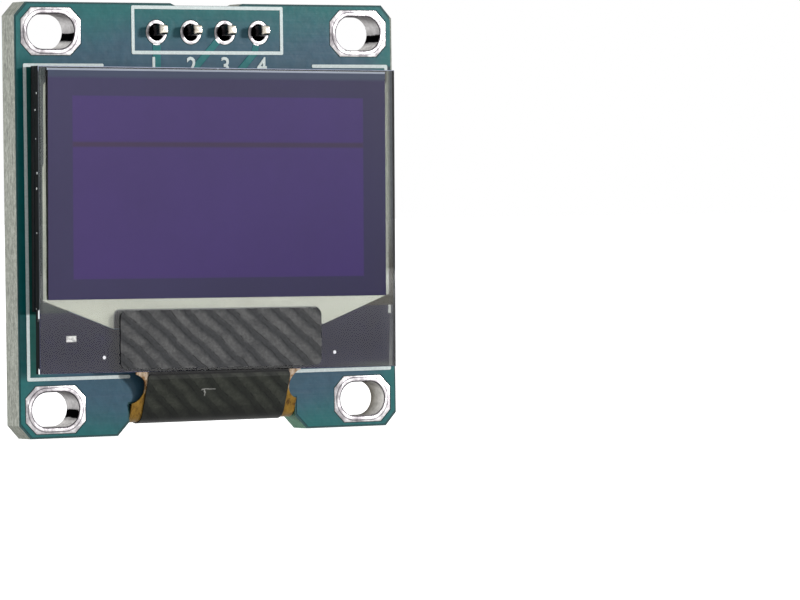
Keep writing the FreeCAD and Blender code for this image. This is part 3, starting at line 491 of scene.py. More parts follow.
def lipped_varnish(name, node_name, outward, top_y, lip_width=0.045, lip_drop=0.014):
    """The resist with the edges of its raised lines sloped, so that they catch the light."""
    form = welded(node_name, slivers_out=True)
    tops = [face for face in form.faces
            if face.normal.y * outward > 0.9 and abs(face.calc_center_median().y - top_y * MM) < 0.001 * MM]
    inset = bmesh.ops.inset_region(form, faces=tops, thickness=lip_width * MM, depth=0.0,
                                   use_even_offset=True, use_boundary=True)
    inner = {vert for face in tops for vert in face.verts}
    for vert in {vert for face in inset["faces"] for vert in face.verts} - inner:
        vert.co.y -= outward * lip_drop * MM
    return to_piece(name, form, 5.0)


front_varnish = varnish("front_varnish", colour(55, 83, 101), colour(30, 97, 97), colour(30, 104, 106),
                        (-1.592, -1.594), (-1.599, -1.605))
back_varnish = varnish("back_varnish", colour(54, 80, 101), colour(4, 100, 94), colour(18, 100, 96),
                       (-0.008, -0.006), (-0.001, 0.005))
blister_tone, never_reached = colour(16, 72, 76), (1, 2)
blister_varnish = varnish("blister_varnish", blister_tone, blister_tone, blister_tone, never_reached,
                          never_reached)
for side, outward, top_y, paint in (("front", -1, -1.610, front_varnish), ("back", 1, 0.010, back_varnish)):
    mask = "solder_mask_" + side
    finish(lipped_varnish(side + "_varnish_coat", mask, outward, top_y), paint, [mask])
blister = bmesh.new()
bmesh.ops.create_uvsphere(blister, u_segments=32, v_segments=16, radius=1.0)
bmesh.ops.scale(blister, vec=(0.72 * MM, 0.05 * MM, 0.9 * MM), verts=blister.verts)
bmesh.ops.translate(blister, vec=Vector((9.5, -0.012, -2.35)) * MM, verts=blister.verts)
finish(to_piece("varnish_blister", blister, 60.0), blister_varnish)


# Board print: white ink laid on through a screen, with the outlines of the header, the display and
# the small parts, and a numeral beside each pin.
ink, tree, shader, height = grained_material("white_ink", colour(196, 207, 206), 9.0, 0.12, Roughness=0.6)
bumps(tree, shader, height, 0.01)
dress(["print_back", "print_front"], ink)


def lettering(name, text, height_mm, thickness_mm, at_mm, to_right=(1, 0, 0), to_top=(0, 0, 1)):
    """Flat characters as a mesh, centred on a place on their foot line, facing the front unless turned."""
    numeral_share, boldness = 0.69, 0.02
    curve = bpy.data.curves.new(name + "_curve", "FONT")
    curve.body = text
    curve.size = height_mm * MM / numeral_share
    curve.align_x = "CENTER"
    curve.extrude = thickness_mm * MM / 2
    curve.offset = height_mm * MM * boldness
    curve.resolution_u = 3
    writing = in_scene(name + "_curve", curve)
    bpy.context.view_layer.update()
    mesh = bpy.data.meshes.new_from_object(writing.evaluated_get(bpy.context.evaluated_depsgraph_get()))
    bpy.data.objects.remove(writing)
    bpy.data.curves.remove(curve)
    mesh.name = name
    mesh.materials.clear()
    to_right, to_top = Vector(to_right), Vector(to_top)
    turn = Matrix((to_right, to_top, to_right.cross(to_top))).transposed().to_4x4()
    mesh.transform(Matrix.Translation(Vector(at_mm) * MM) @ turn)
    return in_scene(name, mesh)


numeral_y, numeral_foot_z = -1.6045, 9.24
for number, x in ((1, -4.0), (2, -1.2), (3, 1.33), (4, 4.1)):
    finish(lettering("pin_numeral_%d" % number, str(number), 1.05, 0.031, (x, numeral_y, numeral_foot_z)),
           ink)


# Header: four segments of black moulded plastic in a strip, with four square tinned pins pushed
# through them. It is only dropped into its holes, so it leans a little.
fleck_group, given, made = new_group(
    "flecks",
    [("Position", "Vector", None), ("Frequency", "Float", 1.0), ("Radius", "Float", 0.05),
     ("Share", "Float", 0.3)],
    [("Mask", "Float", None)])
cells = add(fleck_group, "TexVoronoi", {"Vector": given["Position"], "Scale": given["Frequency"]})
size = times(fleck_group, given["Radius"], given["Frequency"])
near = maths(fleck_group, "LESS_THAN", cells.outputs["Distance"], size)
chance = axes(fleck_group, cells.outputs["Color"])[0]
kept = maths(fleck_group, "LESS_THAN", chance, given["Share"])
fleck_group.links.new(times(fleck_group, near, kept), made["Mask"])


def flecks(tree, position, frequency, radius, share):
    """One on a share of the cells, in a spot of the radius in millimetres, and nought elsewhere."""
    return use(tree, fleck_group, Position=position, Frequency=frequency, Radius=radius, Share=share)["Mask"]


plastic, tree, shader, place = new_material("black_moulding", Roughness=0.42, Specular_IOR_Level=0.14)
moulded = grain(tree, place, colour(14, 14, 16), 5.0, 0.6)["Colour"]
scuffs = cloud(tree, mapped(tree, place, scale=(0.6, 3, 3), turn=(20, 35, 0)), 2.0, 6.0, 0.75)
scuffed = blended(tree, spread(tree, scuffs, 0.58, 0.72, 0.0, 0.5), moulded, colour(112, 114, 116))
# The strip's end towards +x is painted paler: partly dust and rubbing, partly painted light on an end that
# lies in shade.
end_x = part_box("header_body")[1][0] / MM
pale_end_dust_and_light = spread(tree, axes(tree, place)[0], end_x - 0.22, end_x - 0.08)
rubbed_and_lit = ramp(tree, cloud(tree, place, 3.2, 6.0, 0.75),
              [(0.38, colour(30, 31, 33)), (0.5, colour(74, 76, 78)), (0.62, colour(156, 158, 160))])
scuffed = blended(tree, pale_end_dust_and_light, scuffed, rubbed_and_lit)
dust = flecks(tree, wavering(tree, place, 6.0, 0.06), 3.2, 0.05, 0.3)
scuffed = blended(tree, times(tree, dust, 0.75), scuffed, colour(134, 136, 138))
feed(tree, scuffed, shader)
bumps(tree, shader, maths(tree, "ADD", scuffs, cloud(tree, place, 8.0, 4.0)), 0.045)
finish(joined_copy("header_strip", "header_body", 0.035, 3), plastic, ["header_body"])

pin_tin, tree, shader, place = new_material("pin_tin", Metallic=1.0)
drawn = cloud(tree, mapped(tree, place, scale=(9, 0.5, 9)), 1.0, 3.0)
tone = ramp(tree, drawn, [(0.3, colour(188, 180, 166)), (0.7, colour(234, 226, 212))])
through = axes(tree, place)[1]
brassy = times(tree, spread(tree, through, 8.3, 8.5), spread(tree, cloud(tree, place, 2.2), 0.5, 0.62))
tone = blended(tree, brassy, tone, colour(206, 172, 118))
# Between the bright tips the pins are painted dark with lighter streaks, a painted reflection, and darker
# still through and in front of the board, painted shade.
between_tips = times(tree, spread(tree, through, -2.62, -2.45), spread(tree, through, 8.6, 8.3))
shaft_reflection_and_shade = ramp(tree, drawn, [(0.35, colour(58, 56, 50)), (0.55, colour(104, 104, 92)),
                           (0.7, colour(150, 152, 138))])
shaft_reflection_and_shade = blended(tree, spread(tree, through, 0.3, 0.0), shaft_reflection_and_shade, colour(58, 54, 56))
feed(tree, blended(tree, between_tips, tone, shaft_reflection_and_shade), shader)
feed(tree, spread(tree, drawn, 0.3, 0.7, 0.15, 0.35), shader, "Roughness")


def cut_across(form, place_on, facing):
    """Divides the form's faces along a plane."""
    bmesh.ops.bisect_plane(form, geom=form.verts[:] + form.edges[:] + form.faces[:], plane_co=place_on,
                           plane_no=facing)


def pointed(pin, length_mm=0.32, narrowed=0.74):
    """Narrows the long end of a pin over a short length, as its cutting does."""
    form = bmesh.new()
    form.from_mesh(pin.data)
    shoulder = max(vert.co.y for vert in form.verts) - length_mm * MM
    cut_across(form, (0, shoulder, 0), (0, 1, 0))
    tip = [vert for vert in form.verts if vert.co.y > shoulder + 0.1 * MM]
    centre = sum((vert.co for vert in tip), Vector()) / len(tip)
    bmesh.ops.scale(form, vec=(narrowed, 1.0, narrowed), space=Matrix.Translation(-centre), verts=tip)
    form.to_mesh(pin.data)
    form.free()
    return pin


for number in range(1, 5):
    pin = pointed(joined_copy("square_pin_%d" % number, "header_pin_%d" % number, 0.05, 3))
    finish(pin, pin_tin, ["header_pin_%d" % number])


# Display panel, from the board outwards: black foam tape, a cap glass painted black, a drying sheet,
# a resin seal, the display layer, silver conductor film, the front glass and a polarizer.
foam, tree, shader, place = new_material("black_foam", Roughness=0.9, Specular_IOR_Level=0.1)
cells = add(tree, "TexVoronoi", {"Vector": place, "Scale": 9.0}).outputs["Distance"]
feed(tree, ramp(tree, cells, [(0.0, colour(6, 7, 8)), (0.7, colour(22, 23, 25))]), shader)
bumps(tree, shader, cells, 0.05)
dress(["foam_tape"], foam)

cap, tree, shader, place = new_material("black_backed_glass", Roughness=0.12, Specular_IOR_Level=0.25)
backing = grain(tree, place, colour(10, 10, 14), 3.0, 0.4)["Colour"]
chips = flecks(tree, place, 1.7, 0.06, 0.35)
feed(tree, blended(tree, chips, backing, colour(210, 215, 220)), shader)
dress(["cap_glass"], cap)

dress(["getter_sheet"], grained_material("drying_sheet", colour(205, 205, 200), 6.0, 0.12, Roughness=0.8)[0])

# The panel lies a little turned on the board, and with it all that is drawn on its sheets.
panel_turn = (0, -0.45, 0)
strip_end_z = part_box("conductor_film")[1][2] / MM - 0.30


def left_strip(tree, place, tone):
    """Paints the conductor's left strip as it shows through the glass, between the seal and a black line of
    painted shadow from the polarizer's edge.
    """
    across, _, upward = axes(tree, place)
    zone = times(tree, spread(tree, across, -12.30, -12.35), spread(tree, upward, -5.06, -5.02))
    # Towards the polarizer the strip turns black: painted shadow of the polarizer's edge.
    around = blended(tree, spread(tree, across, -12.56, -12.55), colour(38, 45, 44), colour(2, 2, 3))
    pale = blended(tree, spread(tree, across, -12.78, -12.56), colour(142, 143, 130), colour(126, 127, 116))
    pale = blended(tree, spread(tree, upward, 1.0, -5.0), pale, colour(118, 119, 108))
    left_edge = spread(tree, upward, 3.2, 3.5, -12.795, -12.705)
    inside = times(tree, spread(tree, maths(tree, "SUBTRACT", across, left_edge), -0.005, 0.005),
                   spread(tree, across, -12.54, -12.55))
    slanted = maths(tree, "SUBTRACT", upward, maths(tree, "MULTIPLY_ADD", across, 1.2, 12.62 * 1.2))
    inside = times(tree, inside, spread(tree, slanted, strip_end_z, strip_end_z - 0.04))
    return blended(tree, zone, tone, blended(tree, inside, around, pale))


seal, tree, shader, place = new_material("seal_resin", Roughness=0.6, Specular_IOR_Level=0.0)
place = mapped(tree, place, turn=panel_turn)
grain(tree, place, left_strip(tree, place, colour(58, 56, 47)), 4.0, 0.1, shader)
dress(["panel_seal"], seal)

dress(["display_layer"],
      grained_material("display_layer", colour(120, 118, 140), 2.0, 0.1, Roughness=0.3, Metallic=0.6)[0])

silver, tree, shader, place = new_material("silver_film", Roughness=0.5, Specular_IOR_Level=0.2)
place = mapped(tree, place, turn=panel_turn)
across, _, upward = axes(tree, place)
tone = blended(tree, spread(tree, across, 12.5, 12.7), colour(130, 130, 116), colour(94, 95, 82))
tone = left_strip(tree, place, tone)
corner_x, corner_z = 7.32, -6.10
corner = add(tree, "CombineXYZ", {
    0: maths(tree, "MAXIMUM", maths(tree, "SUBTRACT", maths(tree, "ABSOLUTE", across), corner_x), 0.0),
    2: maths(tree, "MAXIMUM", maths(tree, "SUBTRACT", upward, corner_z), 0.0)})
corner = vector_maths(tree, "LENGTH", corner.outputs[0])
tone = blended(tree, spread(tree, corner, 0.42, 0.38), tone, colour(7, 6, 10))
grain(tree, place, tone, 3.0, 0.06, shader)
dress(["conductor_film"], silver)


def lets_light_through(tree, shader):
    """The surface shades nothing behind it, as clear glass and thin sheet hardly do."""
    path = add(tree, "LightPath")
    clear = add(tree, "BsdfTransparent").outputs[0]
    mixed = add(tree, "MixShader", {0: path.outputs["Is Shadow Ray"], 1: shader.outputs[0], 2: clear})
    tree.links.new(mixed.outputs[0], tree.nodes["Material Output"].inputs["Surface"])


glass, tree, shader, place = new_material("front_glass", Roughness=0.0, Transmission_Weight=1.0, IOR=1.5,
                                          Specular_IOR_Level=0.3)
tint = ramp(tree, cloud(tree, place, 0.3, 2.0), [(0.2, colour(244, 248, 248)), (0.8, colour(252, 254, 254))])
feed(tree, tint, shader)
lets_light_through(tree, shader)

cut_edge, tree, shader, place = new_material("cut_glass_edge", Roughness=0.5, Specular_IOR_Level=0.03)
_, through, upward = axes(tree, place)
streaks = cloud(tree, mapped(tree, place, scale=(9, 9, 0.5)), 1.0, 4.0)
dull = ramp(tree, streaks, [(0.42, colour(0, 3, 4)), (0.75, colour(12, 19, 21))])
dust = flecks(tree, mapped(tree, place, scale=(1, 1, 0.6)), 3.4, 0.05, 0.16)
dull = blended(tree, dust, dull, colour(205, 210, 210))
broken = wavering(tree, place, 4.0, 0.3)
chips = maths(tree, "MAXIMUM", rectangle(tree, broken, -13.2, -5.85, 1.5, 0.3, 0.05),
              rectangle(tree, broken, -13.2, -9.45, 1.5, 0.16, 0.05))
chips = times(tree, chips, spread(tree, through, -2.66, -2.74))
dull = blended(tree, chips, dull, colour(236, 238, 240))
# The ground front arris is painted pale, a painted highlight brightest along the top edge, and black along
# the bottom middle, painted shadow where the lead leaves the glass.
arris_light_and_shade = blended(tree, spread(tree, upward, -5.6, -6.0), colour(96, 100, 106), colour(84, 86, 108))
arris_light_and_shade = blended(tree, spread(tree, upward, 9.3, 9.5), arris_light_and_shade, colour(176, 184, 206))
arris_light_and_shade = blended(tree, rectangle(tree, place, 0.1, -9.78, 5.4, 0.2, 0.1), arris_light_and_shade, colour(2, 2, 3))
front_arris = spread(tree, through, -2.845, -2.855)
feed(tree, blended(tree, front_arris, dull, arris_light_and_shade), shader)
lets_light_through(tree, shader)

sheet_back_y = -2.392
ledge, tree, shader, place = new_material("blackened_ledge", Roughness=0.6, Specular_IOR_Level=0.0)
across, _, upward = axes(tree, place)
# The ledge is painted lighter towards its bottom and right edges, and most at its lower right corner: painted
# light.
tone = blended(tree, spread(tree, upward, -8.4, -9.7), colour(8, 4, 34), colour(30, 28, 48))
tone = blended(tree, spread(tree, across, 12.2, 13.3, 0.0, 0.6), tone, colour(46, 46, 60))
lower_right_glow = times(tree, spread(tree, across, 8.0, 13.2), spread(tree, upward, -9.3, -9.75))
tone = blended(tree, lower_right_glow, tone, colour(74, 78, 74))
# A pale slanting line near the right end, stronger towards the bottom.
slanted = maths(tree, "MULTIPLY_ADD", upward, -0.035, across)
pale_right_line = times(tree, spread(tree, slanted, 13.24, 13.30, smooth=True),
                    spread(tree, slanted, 13.56, 13.50, smooth=True))
pale_right_line = times(tree, pale_right_line, spread(tree, upward, -6.6, -9.6, 0.2, 0.9))
tone = blended(tree, pale_right_line, tone, colour(112, 114, 112))
traces = cloud(tree, mapped(tree, place, scale=(0.6, 1, 0.6), turn=(0, 30, 0)), 2.0, 4.0)
tone = blended(tree, spread(tree, traces, 0.5, 0.8, 0.0, 0.4), tone, colour(16, 13, 22))
square = rectangle(tree, place, -10.85, -7.435, 0.36, 0.19, 0.02)
checks = add(tree, "TexVoronoi", {"Vector": place, "Scale": 8.0}).outputs["Color"]
checks = spread(tree, axes(tree, checks)[0], 0.2, 0.8, 0.55, 1.0)
tone = blended(tree, times(tree, square, checks), tone, colour(214, 212, 208))
tone = blended(tree, rectangle(tree, wavering(tree, place, 4.0, 0.1), 13.03, -6.0, 0.1, 0.3, 0.05), tone,
               colour(176, 178, 172))
# A black band along the bottom middle: painted shadow under the glass's bottom edge, where the lead leaves
# it.
tone = blended(tree, rectangle(tree, wavering(tree, place, 0.6, 0.1), 0.1, -9.75, 5.4, 0.24, 0.03), tone,
               colour(1, 1, 2))
for x, z in ((-8.48, -8.66), (8.74, -8.76)):
    offset = vector_maths(tree, "DISTANCE", place, (x, sheet_back_y, z))
    tone = blended(tree, spread(tree, offset, 0.13, 0.10), tone, colour(226, 224, 228))
feed(tree, tone, shader)
lets_light_through(tree, shader)

wetted, tree, shader, place = new_material("seal_behind_glass", Roughness=0.6, Specular_IOR_Level=0.0)
across, _, upward = axes(tree, place)
thinning = blended(tree, spread(tree, across, 13.0, 13.28), colour(136, 139, 128), colour(78, 81, 86))
right_side = blended(tree, spread(tree, upward, 0.0, -3.8), thinning, colour(46, 43, 31))
tone = blended(tree, spread(tree, across, -5.0, 5.0), colour(38, 45, 44), right_side)
grain(tree, place, tone, 4.0, 0.2, shader)
lets_light_through(tree, shader)

# The sheet's back is divided where it is blackened over the ledge and where the seal lies on it, and
# its walls are dull, so each part takes its own material.
ledge_top, field_top, field_foot = -5.785, -5.055, -6.905
field_left, field_right, field_foot_left = -12.88, 13.02, -7.78
field_slope = (field_top - field_foot) / (field_foot_left - field_left)
form = welded("panel_glass", 1)
front_y = min(vert.co.y for vert in form.verts)
rim = [edge for edge in form.edges if len(edge.link_faces) == 2 and edge.calc_face_angle() > 1
       and all(abs(vert.co.y - front_y) < 0.01 * MM for vert in edge.verts)]
ground_off = 0.04 * MM
bmesh.ops.bevel(form, geom=rim, offset=ground_off, segments=1, profile=0.5, affect="EDGES", material=-1)
for place_on, facing in (((0, 0, ledge_top), (0, 0, 1)), ((field_left, 0, field_top), (field_slope, 0, 1)),
                         ((field_right, 0, field_top), (-field_slope, 0, 1)), ((0, 0, field_foot), (0, 0, 1)),
                         ((field_left, 0, 0), (1, 0, 0)), ((field_right, 0, 0), (1, 0, 0))):
    cut_across(form, Vector(place_on) * MM, facing)
for vert in form.verts:
    if vert.co.y > sheet_back_y * MM:
        vert.co.y = sheet_back_y * MM
for face in form.faces:
    face.normal_update()
    middle = face.calc_center_median() / MM
    under_field = (middle.z - field_top + field_slope * (middle.x - field_left) < 0
                   or middle.z - field_top + field_slope * (field_right - middle.x) < 0)
    if abs(face.normal.y) < 0.9:
        face.material_index = 1
    elif face.normal.y > 0 and middle.z < ledge_top and (under_field or middle.z < field_foot):
        face.material_index = 2
    elif face.normal.y > 0 and (middle.x < field_left or middle.x > field_right
                                or (under_field and middle.z < -5)):
        face.material_index = 3
glass_sheet = to_piece("front_glass_sheet", form, 20.0)
finish(glass_sheet, (glass, cut_edge, ledge, wetted), ["panel_glass"])

polarizer, tree, shader, place = new_material("polarizer_sheet", Roughness=0.24, Specular_IOR_Level=0.2)
place = mapped(tree, place, turn=panel_turn)
active = rectangle(tree, place, -0.025, 1.975, 10.835, 5.75, 0.06)
gap = rectangle(tree, place, -0.025, 4.68, 10.835, 0.16, 0.1)
across, through, upward = axes(tree, place)
# The sheet is painted lighter towards its upper left: a painted sheen.
sheen_drift = maths(tree, "ADD", spread(tree, across, -11.0, 11.0, 0.0, 0.7),
              spread(tree, upward, 8.0, -5.0, 0.0, 0.3))
lit = blended(tree, sheen_drift, colour(62, 46, 99), colour(39, 13, 83))
tone = blended(tree, active, blended(tree, sheen_drift, colour(53, 48, 82), colour(18, 10, 56)), lit)
in_gap = blended(tree, sheen_drift, colour(58, 44, 64), colour(28, 12, 40))
tone = blended(tree, times(tree, gap, 0.8), tone, in_gap)
tone = blended(tree, spread(tree, upward, 8.8, 9.0, 0.0, 0.7), tone, colour(56, 68, 86))
tone = blended(tree, spread(tree, through, -3.03, -3.0), tone, colour(16, 16, 20))
# The top strip of the sheet is painted pale: a painted highlight of the glass's top edge.
top_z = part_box("polarizer")[1][2] / MM - 0.10
top_edge_highlight = spread(tree, upward, top_z - 0.13, top_z - 0.11)
tone = blended(tree, top_edge_highlight, tone, colour(146, 153, 166))
tone = grain(tree, place, tone, 0.12, 0.08)["Colour"]
dust = times(tree, flecks(tree, place, 0.55, 0.035, 0.16), 0.35)
feed(tree, blended(tree, dust, tone, colour(150, 100, 130)), shader)
lets_light_through(tree, shader)
right_in, left_out, left_slant = 0.15 * MM, 0.11 * MM, 0.0042
sheet = welded("polarizer", 1)
for vert in sheet.verts:
    if abs(vert.co.x) > 12 * MM:
        vert.co.x -= right_in if vert.co.x > 0 else left_out - left_slant * vert.co.z
finish(to_piece("polarizer_film", sheet, 20.0), polarizer, ["polarizer"])

dress(["driver_chip"], grained_material("driver_silicon", colour(60, 60, 66), 4.0, 0.2, Roughness=0.2)[0])


# Black tapes: one over the driver chip on the front glass and one round the fold of the lead. Their
# backing is printed or embossed with slanting bands.
def black_tape(name, light, dark, line, turn=(0, 50, 0)):
    """A tape's material with its bands, and what is needed to paint on it further."""
    material, tree, shader, place = new_material(name, Roughness=0.45, Specular_IOR_Level=0.12)
    bent = wavering(tree, wavering(tree, place, 0.5, 0.5), 3.0, 0.16)
    along = axes(tree, mapped(tree, bent, turn=turn))[0]
    band = maths(tree, "FRACT", times(tree, along, 0.95))
    bands = ramp(tree, band, [(0.0, dark), (0.25, dark), (0.45, light), (0.75, light), (0.97, dark)])
    stains = cloud(tree, mapped(tree, place, scale=(0.6, 1, 1.2), turn=turn), 1.0, 5.0, 0.7)
    bands = blended(tree, spread(tree, stains, 0.42, 0.68, 0.0, 0.8), bands, dark)
    early = spread(tree, band, 0.09, 0.02)
    edges = maths(tree, "MINIMUM", maths(tree, "MAXIMUM", early, spread(tree, band, 0.30, 0.34)),
                  maths(tree, "MAXIMUM", early, spread(tree, band, 0.40, 0.36)))
    broken = spread(tree, cloud(tree, place, 1.4, 5.0, 0.75), 0.42, 0.6)
    bands = blended(tree, times(tree, edges, broken), bands, line)
    grained = grain(tree, place, bands, 5.0, 0.3, shader)
    bumps(tree, shader, maths(tree, "ADD", band, stains), 0.02)
    return material, tree, shader, place, grained["Colour"]


dress(["light_shield_tape"],
      black_tape("shield_tape", colour(82, 82, 82), colour(46, 47, 49), colour(16, 17, 19))[0])


# Lead: a flexible polyimide sheet with copper lines, bonded behind the glass, folded through the
# notch and soldered to the board's back. Resin has crept over parts of it and stained them brown.
film, tree, shader, place = new_material("polyimide", Roughness=0.4, Specular_IOR_Level=0.15)
ragged = wavering(tree, place, 1.3, 0.9)
tone = blended(tree, cloud(tree, place, 0.7, 3.0), colour(138, 118, 98), colour(158, 138, 116))
for x, z, half_x, half_z, softness, tint in (
        (0, -7.95, 10.6, 0.42, 0.25, colour(158, 92, 20)), (-3.6, -8.3, 2.4, 0.55, 0.3, colour(146, 84, 18)),
        (5.4, -8.15, 2.8, 0.5, 0.3, colour(150, 88, 20)), (-8.9, -8.2, 1.7, 0.45, 0.1, colour(140, 78, 12)),
        (-0.5, -11.35, 2.1, 0.45, 0.1, colour(92, 56, 2)), (6.2, -11.45, 1.3, 0.5, 0.08, colour(96, 59, 2)),
        (-6.2, -11.45, 1.1, 0.45, 0.08, colour(94, 57, 2)), (-3.4, -11.5, 1.2, 0.3, 0.1, colour(110, 64, 8))):
    tone = blended(tree, rectangle(tree, ragged, x, z, half_x, half_z, softness), tone, tint)
olive = rectangle(tree, place, -0.03, -6.5, 12.0, 1.12, 0.02)
speckled = ramp(tree, cloud(tree, mapped(tree, place, scale=(1, 1, 0.5)), 3.2, 5.0, 0.7),
                [(0.40, colour(20, 15, 3)), (0.48, colour(68, 57, 16)), (0.60, colour(104, 91, 34))])
tone = blended(tree, olive, tone, speckled)
across, through, upward = axes(tree, place)
side_strips = times(tree, olive, spread(tree, maths(tree, "ABSOLUTE", across), 10.35, 10.45))
tone = blended(tree, side_strips, tone, colour(128, 116, 58))
creases = cloud(tree, mapped(tree, place, scale=(1.5, 1, 0.8)), 1.6, 4.0, 0.7)
tone = blended(tree, spread(tree, upward, -11.85, -12.0), tone, colour(140, 108, 40))
wing = ramp(tree, creases, [(0.34, colour(80, 52, 14)), (0.46, colour(128, 96, 34)),
                            (0.6, colour(144, 110, 42))])
pale = ramp(tree, creases, [(0.40, colour(70, 36, 8)), (0.48, colour(140, 104, 62)),
                            (0.6, colour(190, 170, 148))])
wing = blended(tree, spread(tree, upward, -11.2, -10.7, smooth=True), wing, pale)
# Just below the glass's bottom middle the lead is painted black: painted shadow under the glass's edge.
wing = blended(tree, rectangle(tree, place, 0.1, -9.7, 5.3, 0.5, 0.1), wing, colour(8, 8, 9))
tone = blended(tree, spread(tree, through, -0.3, -0.5), tone, wing)
grain(tree, place, tone, 3.0, 0.2, shader)
bumps(tree, shader, cloud(tree, place, 2.0), 0.03)
dress(["flex_lead"], film)

lines, tree, shader, place = new_material("covered_copper_lines", Roughness=0.32)
low = spread(tree, axes(tree, place)[2], -8.6, -11.2)
tone = blended(tree, low, colour(238, 162, 52), colour(222, 160, 88))
grain(tree, place, tone, 4.0, 0.12, shader)
dress(["flex_lead_copper"], lines)
for name, digits, x, z in (("lead_mark_last", "30", 9.33, -10.1), ("lead_mark_first", "1", -9.67, -9.5)):
    finish(lettering(name, digits, 0.75, 0.012, (x, 0.136, z)), lines)

tape, tree, shader, place, tone = black_tape("fold_tape", colour(52, 54, 48), colour(30, 32, 28),
                                             colour(12, 13, 12))
_, through, upward = axes(tree, place)
# The tape is painted darker towards the bottom, painted shade where it turns round the fold, and black along
# its top, painted shadow under the glass's bottom edge.
fold_shade = spread(tree, upward, -11.9, -12.6, 0.0, 0.75)
tone = blended(tree, fold_shade, tone, colour(14, 15, 14))
tone = blended(tree, spread(tree, upward, -9.93, -9.87), tone, colour(1, 1, 2))
scraped = wavering(tree, place, 3.0, 0.25)
scratches = maths(tree, "MAXIMUM", rectangle(tree, scraped, -0.6, -10.9, 0.5, 0.025, 0.03),
                  rectangle(tree, scraped, -0.85, -11.1, 0.03, 0.22, 0.03))
scratches = times(tree, scratches, spread(tree, through, -1.0, -1.5))
tone = blended(tree, scratches, tone, colour(150, 150, 146))
feed(tree, tone, shader)
dress(["fold_tape"], tape)


# Solder: tin alloy, melted by hand into ragged joints along the lead's fingers and by hot air into
# slopes at the small parts. Burnt flux from the joints lies dark and glossy between the fingers.
solder, tree, shader, place = new_material("solder", Metallic=1.0)
mottle = cloud(tree, mapped(tree, place, scale=(1.5, 1, 0.8)), 2.0, 5.0, 0.68)
tone = ramp(tree, mottle, [(0.34, colour(66, 62, 54)), (0.42, colour(158, 156, 150)),
                           (0.55, colour(186, 185, 181)), (0.68, colour(238, 238, 236))])
feed(tree, tone, shader)
feed(tree, spread(tree, mottle, 0.35, 0.65, 0.5, 0.16), shader, "Roughness")
bumps(tree, shader, mottle, 0.08)


def roughened(name, node_name, step_mm, stir):
    """A copy of solder solids, sliced finely upwards and stirred by a function of each point."""
    form = welded(node_name, 2)
    low = min(vert.co.z for vert in form.verts)
    high = max(vert.co.z for vert in form.verts)
    level = low + step_mm * MM
    while level < high:
        cut_across(form, (0, 0, level), (0, 0, 1))
        level += step_mm * MM
    bmesh.ops.triangulate(form, faces=form.faces)
    long_edges = [edge for edge in form.edges if edge.calc_length() > 1.6 * step_mm * MM]
    bmesh.ops.subdivide_edges(form, edges=long_edges, cuts=1)
    bmesh.ops.triangulate(form, faces=form.faces)
    for vert in form.verts:
        vert.co = stir(vert.co / MM) * MM
    return to_piece(name, form, 80.0)


finger_pitch, middle_finger_x, lead_edge_z = 0.7, -0.03, -5.45


def stir_finger(point):
    """Below the lead's edge a joint swells and shrinks along its finger; above it, it stays narrow."""
    steps = round((point.x - middle_finger_x) / finger_pitch - 0.5) + 0.5
    centre = middle_finger_x + steps * finger_pitch
    side = point.x - centre
    on_lead = min(max((lead_edge_z - point.z) / 0.2, 0.0), 1.0)
    swell = noise.noise(Vector((centre * 3 + (0.0 if side > 0 else 40.0), 0, point.z * 3.1)))
    lift = noise.noise(Vector((point.x * 5, 7, point.z * 4)))
    point.x = centre + side * (0.72 + on_lead * (0.36 + 0.7 * swell))
    if point.y > 0.02:
        point.y += lift * 0.05 * on_lead - 0.01
    return point


def stir_fillet(point):
    """A slope at a small part is lumpy all over."""
    lift = noise.noise(point * 3.5) + 0.5 * noise.noise(point * 9)
    if point.y > 0.03:
        point.y += 0.06 * lift
    point.x += 0.04 * noise.noise(point * 4 + Vector((9, 0, 0)))
    return point


for name, node_name, step_mm, stir in (("finger_joints", "finger_solder", 0.13, stir_finger),
                                       ("part_joints", "part_solder", 0.11, stir_fillet)):
    finish(roughened(name, node_name, step_mm, stir), solder, [node_name])

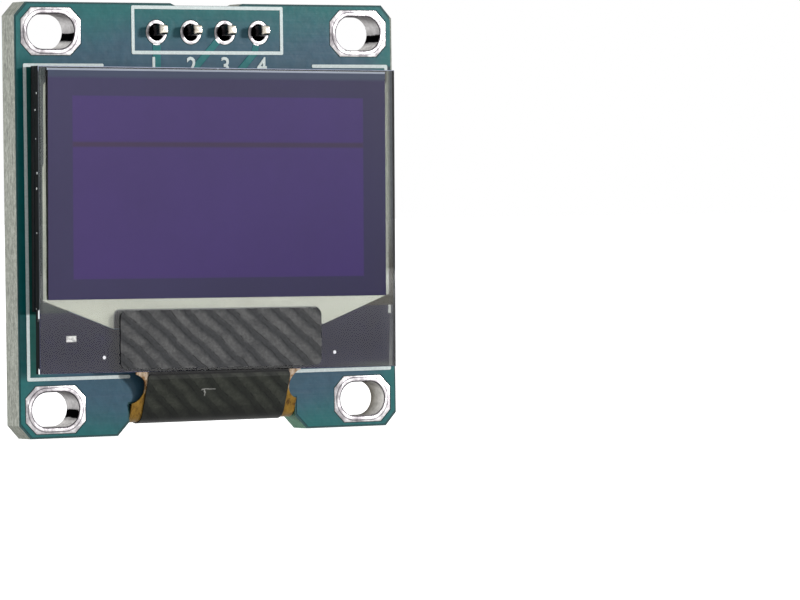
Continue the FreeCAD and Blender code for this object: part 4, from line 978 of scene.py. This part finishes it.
flux, tree, shader, place = new_material("burnt_flux", Roughness=0.12, Specular_IOR_Level=0.25)
beads = cloud(tree, place, 4.5, 4.0, 0.7)
tone = ramp(tree, beads, [(0.4, colour(3, 4, 12)), (0.6, colour(14, 20, 44)), (0.72, colour(60, 74, 100))])
feed(tree, tone, shader)
bumps(tree, shader, beads, 0.15)
upright, half_width, half_height = Matrix.Rotation(-math.pi / 2, 4, "X"), 10.42 * MM, 0.86 * MM
film_of_flux = bmesh.new()
bmesh.ops.create_grid(film_of_flux, x_segments=160, y_segments=14, size=1.0, matrix=upright)
bmesh.ops.scale(film_of_flux, vec=(half_width, 1.0, half_height), verts=film_of_flux.verts)
bmesh.ops.translate(film_of_flux, vec=Vector((middle_finger_x, -0.006, -4.72)) * MM,
                    verts=film_of_flux.verts)
for vert in film_of_flux.verts:
    vert.co.y += 0.004 * MM * noise.noise(vert.co * 4000)
finish(to_piece("flux_between_fingers", film_of_flux, 60.0), flux)


# Small parts: seven fired ceramic capacitors and four resistors with tinned ends, laid on by machine
# and soldered. Each resistor is a pale ceramic tile with a black coat, on which its value is printed.
ends, tree, shader, height = grained_material("tinned_ends", colour(168, 160, 148), 4.0, 0.3, Metallic=0.8)
feed(tree, spread(tree, height, 0.3, 0.7, 0.25, 0.5), shader, "Roughness")
bumps(tree, shader, height, 0.02)
ceramic = grained_material("tan_ceramic", colour(124, 100, 72), 7.0, 0.14, Roughness=0.5)[0]
substrate = grained_material("pale_ceramic", colour(150, 136, 112), 8.0, 0.15, Roughness=0.55)[0]
coat = grained_material("black_coat", colour(34, 31, 31), 6.0, 0.25, Roughness=0.35)[0]
for kind, count, body_paint in (("capacitor", 7, ceramic), ("resistor", 4, substrate)):
    for number in range(1, count + 1):
        caps, core = "%s_%d_terminals" % (kind, number), "%s_%d_body" % (kind, number)
        finish(joined_copy("%s_%d_ends" % (kind, number), caps, 0.035, 3), ends, [caps])
        finish(joined_copy("%s_%d_block" % (kind, number), core, 0.02, 2), body_paint, [core])
finish(joined_copy("resistor_top_coats", "resistor_coats", 0.008, 2), coat,
       ["resistor_coats"])
coat_top, digit_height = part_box("resistor_coats")[1][1] / MM, 0.32
for number, (x, digits) in enumerate(((4.30, "914"), (1.57, "472"), (-1.22, "472"), (-3.86, "472")), 1):
    foot = (x - digit_height / 2, coat_top + 0.002, 2.03)
    marks = lettering("resistor_marks_%d" % number, digits, digit_height, 0.006, foot, (0, 0, 1), (1, 0, 0))
    finish(marks, ink)
